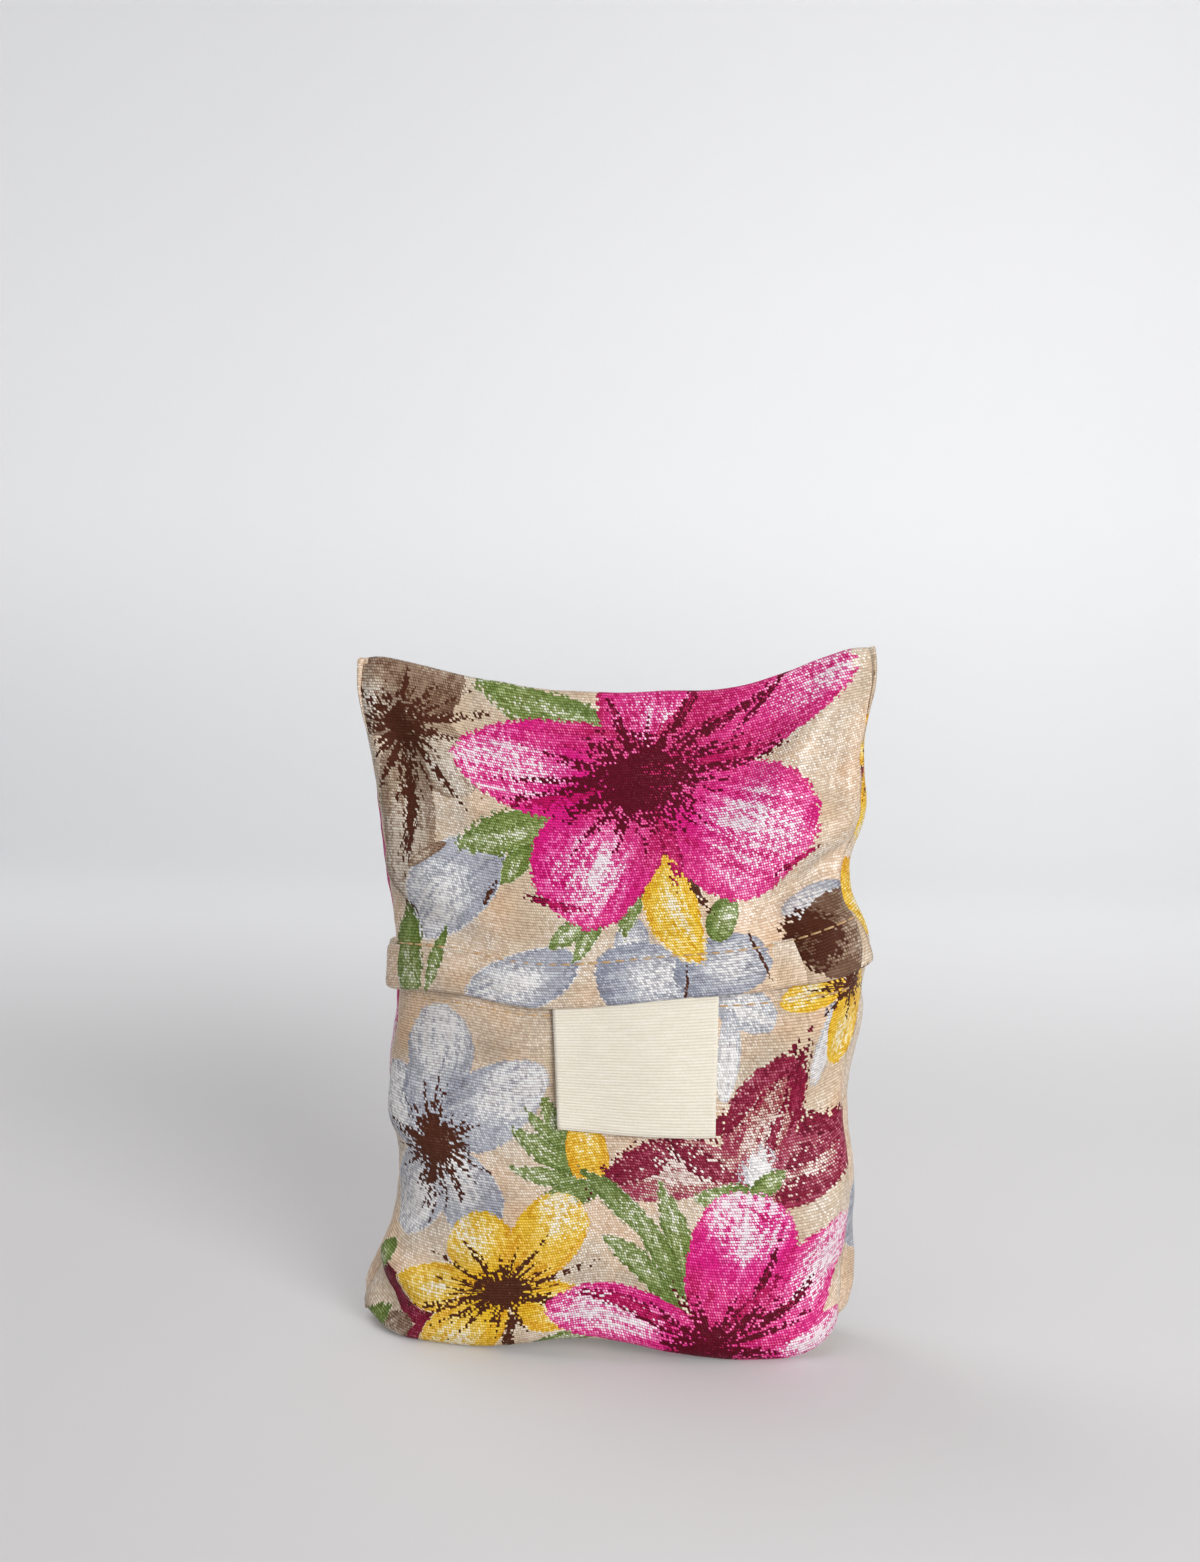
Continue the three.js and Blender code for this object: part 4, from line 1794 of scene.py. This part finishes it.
@dataclass
class FoldedBag:
    """The shopping bag's body, folded into a soft bundle inside the pouch."""

    form: PouchForm
    node: str = "folded_bag"
    top: float = 110.0
    dome: float = 0.8
    inset: float = 2.0
    side_slack: float = 1.5
    depth_slack: float = 0.8
    off_floor: float = 2.2
    end_rounding: float = 0.1
    end_power: int = 8
    layers: int = 6
    layer_ridge: float = 0.5
    layer_wave: Spot = (0.4, 9.0)
    layer_share: float = 0.6
    smooth_angle: float = 50.0
    fill: float = 0.7
    sides: int = 96
    rings: int = 28
    blank_radius: float = 40.0
    blank_height: float = 100.0

    def blank(self) -> Piece:
        """Model a plain cylinder with rings up its side.

        Returns:
            The blank, about the origin.
        """
        deselect()
        bpy.ops.mesh.primitive_cylinder_add(
            vertices=self.sides, radius=self.blank_radius * MM, depth=self.blank_height * MM,
            end_fill_type="TRIFAN",
        )
        bag = bpy.context.object
        bag.name = "folded_bag_body"
        bag.data.name = "folded_bag_body"
        select_edges(bag, lambda a, b: abs(a.z - b.z) > self.blank_height / 2 * MM)
        bpy.ops.mesh.subdivide(number_cuts=self.rings)
        bpy.ops.object.mode_set(mode="OBJECT")
        return bag

    def shaped(self, spot: Vector) -> Vector:
        """Move a point of the blank to its place in the bundle.

        Args:
            spot: Place on the blank in metres.

        Returns:
            Place in the bundle in metres.
        """
        form = self.form
        share = spot.z / (self.blank_height * MM) + 0.5
        angle = math.atan2(spot.y, spot.x)
        power = 2 / form.section_power
        across = math.copysign(abs(math.cos(angle)) ** power, math.cos(angle))
        deep = math.copysign(abs(math.sin(angle)) ** power, math.sin(angle))
        middle = spot.xy.length < MM
        if middle:
            across = deep = 0.0
        low = self.off_floor + float(form.arch(across)) * (1 - deep) / 2
        z = low + (self.top - self.dome - low) * share
        if middle and share > 0.5:
            z += self.dome
        left = float(form.left_edge(z)) + self.inset + self.side_slack
        right = float(form.right_edge(z)) - self.inset - self.side_slack
        depth = float(form.body_depth(z) * form.crown(form.top_edge(across) - z)) - self.inset
        round_in = 1 - self.end_rounding * (2 * share - 1) ** self.end_power
        fold = self.layer_ridge * abs(math.sin(across * self.layers * 2))
        fold += self.layer_wave[0] * math.sin(z / self.layer_wave[1])
        x = (left + right) / 2 + (right - left) / 2 * across * round_in
        y = deep * (depth * round_in - self.depth_slack + fold * self.layer_share) + form.seam_plane
        return Vector((x * MM, y * MM, z * MM))

    def build(self) -> Piece:
        """Model the bundle from a cylinder, ring by ring.

        Returns:
            The bundle.
        """
        bag = self.blank()
        for vertex in bag.data.vertices:
            vertex.co = self.shaped(vertex.co)
        bpy.ops.object.shade_smooth_by_angle(angle=math.radians(self.smooth_angle))
        return bag

    def dress(self, bag: Piece, satin: Material) -> None:
        """Give the bundle its satin and tie it to the frame.

        Args:
            bag: The bundle's mesh.
            satin: The bag's satin.
        """
        settle(bag, self.node, satin)


@dataclass
class BagHandle:
    """One of the bag's handle straps, folded to and fro and laid on the bundle."""

    name: str
    node: str
    layers: int = 3
    thickness: float = 0.8
    cloth_share: float = 0.85
    edge_inset: float = 0.3
    run_points: int = 15
    turn_points: int = 9
    columns: int = 9
    flat: Spot = (0.0, 0.0)

    def build(self) -> Piece:
        """Fold the strap within its place and measure its flat size.

        Returns:
            The strap.
        """
        low, high = (Vector(c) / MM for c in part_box(self.node))
        gap = (high.z - low.z - self.thickness) / (self.layers - 1)
        turns = np.linspace(-math.pi / 2, math.pi / 2, self.turn_points)[1:-1]
        line = []
        for layer in range(self.layers):
            z = low.z + self.thickness / 2 + gap * layer
            way = 1 if layer % 2 == 0 else -1
            there = np.linspace(low.x + gap, high.x - gap, self.run_points)[::way]
            line += [(x, z) for x in there]
            if layer < self.layers - 1:
                for turn in turns:
                    x = there[-1] + way * gap / 2 * math.cos(turn)
                    line.append((x, z + gap / 2 * (1 + math.sin(turn))))
        ys = np.linspace(low.y + self.edge_inset, high.y - self.edge_inset, self.columns)
        points = np.array([[(x, y, z) for y in ys] for x, z in line])
        run = run_along(np.array(line))
        strap = make_sheet(self.name, points, ys - ys.mean(), run)
        thicken(strap, self.thickness * self.cloth_share)
        self.flat = (float(ys[-1] - ys[0]), float(run[-1]))
        return strap

    def dress(self, strap: Piece, satin: Material) -> None:
        """Give the strap its satin and tie it to the frame.

        Args:
            strap: The strap's mesh.
            satin: The bag's satin.
        """
        settle(strap, self.node, satin)


@dataclass(frozen=True)
class Lamp:
    """A soft square lamp that faces the pouch, its place and width in metres and its power in watts."""

    name: str
    at: tuple[float, float, float]
    size: float
    power: float
    spread: float = 80.0
    aim: tuple[float, float, float] = (0.0, 0.0, 0.07)

    def hang(self) -> None:
        """Hang the lamp."""
        deselect()
        turn = (Vector(self.aim) - Vector(self.at)).to_track_quat("-Z", "Y").to_euler()
        bpy.ops.object.light_add(type="AREA", location=self.at, rotation=turn)
        lamp = bpy.context.object
        lamp.name = self.name
        lamp.data.size = self.size
        lamp.data.energy = self.power
        lamp.data.spread = math.radians(self.spread)


@dataclass
class Studio:
    """A pale sweep, soft light and the camera, in metres and degrees."""

    camera_at: tuple[float, float, float] = (0.065, -0.4511, 0.177)
    camera_turn: tuple[float, float, float] = (83.0, 0.0, 8.5)
    lens: float = 50.0
    sensor: float = 36.0
    nearest: float = 0.02
    sweep_size: float = 8.0
    wall_at: float = 0.9
    wall_height: float = 2.5
    sweep_radius: float = 0.3
    sweep_steps: int = 16
    air: Colour = srgb(238, 240, 244)
    air_light: float = 0.3
    air_seen: float = 0.45
    lamps: tuple[Lamp, ...] = (
        Lamp("window", (0.92, -1.18, 0.5), 0.8, 4.8),
        Lamp("ceiling", (-0.3, -0.3, 1.6), 1.4, 1.1),
        Lamp("behind", (-0.7, 0.55, 0.95), 0.8, 1.2),
    )

    def place_camera(self) -> None:
        """Stand the camera at the photograph's viewing angle."""
        deselect()
        turn = [math.radians(angle) for angle in self.camera_turn]
        bpy.ops.object.camera_add(location=self.camera_at, rotation=turn)
        camera = bpy.context.object
        camera.data.lens = self.lens
        camera.data.sensor_width = self.sensor
        camera.data.clip_start = self.nearest
        bpy.context.scene.camera = camera

    def lay_sweep(self) -> None:
        """Make the floor and wall in one sweep."""
        deselect()
        bpy.ops.mesh.primitive_plane_add(size=self.sweep_size)
        sweep = bpy.context.object
        sweep.name = "studio_sweep"
        for vertex in sweep.data.vertices:
            if vertex.co.y > 0:
                vertex.co.y = self.wall_at
        select_edges(sweep, lambda a, b: min(a.y, b.y) > 0)
        bpy.ops.mesh.extrude_region_move(TRANSFORM_OT_translate={"value": (0, 0, self.wall_height)})
        bpy.ops.object.mode_set(mode="OBJECT")
        select_edges(sweep, lambda a, b: min(a.y, b.y) > 0 and max(a.z, b.z) < self.wall_height / 2)
        bpy.ops.mesh.bevel(offset=self.sweep_radius, segments=self.sweep_steps, affect="EDGES")
        bpy.ops.object.mode_set(mode="OBJECT")
        bpy.ops.object.shade_smooth()
        sweep.data.materials.append(StudioPaper().material())

    def light(self) -> None:
        """Set the soft studio light."""
        world = bpy.data.worlds.new("studio")
        bpy.context.scene.world = world
        world.use_nodes = True
        air = Nodes(world.node_tree)
        background = world.node_tree.nodes["Background"]
        background.inputs["Color"].default_value = self.air
        air.feed(background.inputs["Strength"], self.air_light + air.seen() * self.air_seen)
        for lamp in self.lamps:
            lamp.hang()
        bpy.context.scene.view_settings.view_transform = "Standard"

    def build(self) -> None:
        """Set up the studio."""
        self.place_camera()
        self.lay_sweep()
        self.light()


def main() -> None:
    """Build the studio and the pouch, piece by piece."""
    logging.basicConfig(level=logging.INFO, format="%(name)s: %(message)s")
    Studio().build()
    seam_low, seam_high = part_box("left_seam_thread")
    form = PouchForm(seam_plane=(seam_low[1] + seam_high[1]) / 2 / MM)

    cloth = PouchCloth(form)
    cloth.dress(cloth.build())

    bag = FoldedBag(form)
    bag_satin = BagSatin().material()
    bag.dress(bag.build(), bag_satin)
    for hand in Hand:
        handle = BagHandle(f"{hand.word}_handle_strap", f"bag_handle_{hand.word}")
        handle.dress(handle.build(), bag_satin)

    tape = TapeLabel()
    tape.dress(tape.build(cloth.surface()))

    thread = SewingThread().material()
    rows = [
        ("hood_hem", cloth.hem_path(Panel.HOOD)),
        ("mouth_hem", cloth.hem_path(Panel.FRONT)),
        *((f"{hand.word}_seam", cloth.seam_path(hand)) for hand in Hand),
    ]
    for place, path in rows:
        stitches = Stitches(f"{place}_stitches", f"{place}_thread")
        stitches.dress(stitches.build(path), thread)


if __name__ == "__main__":
    main()
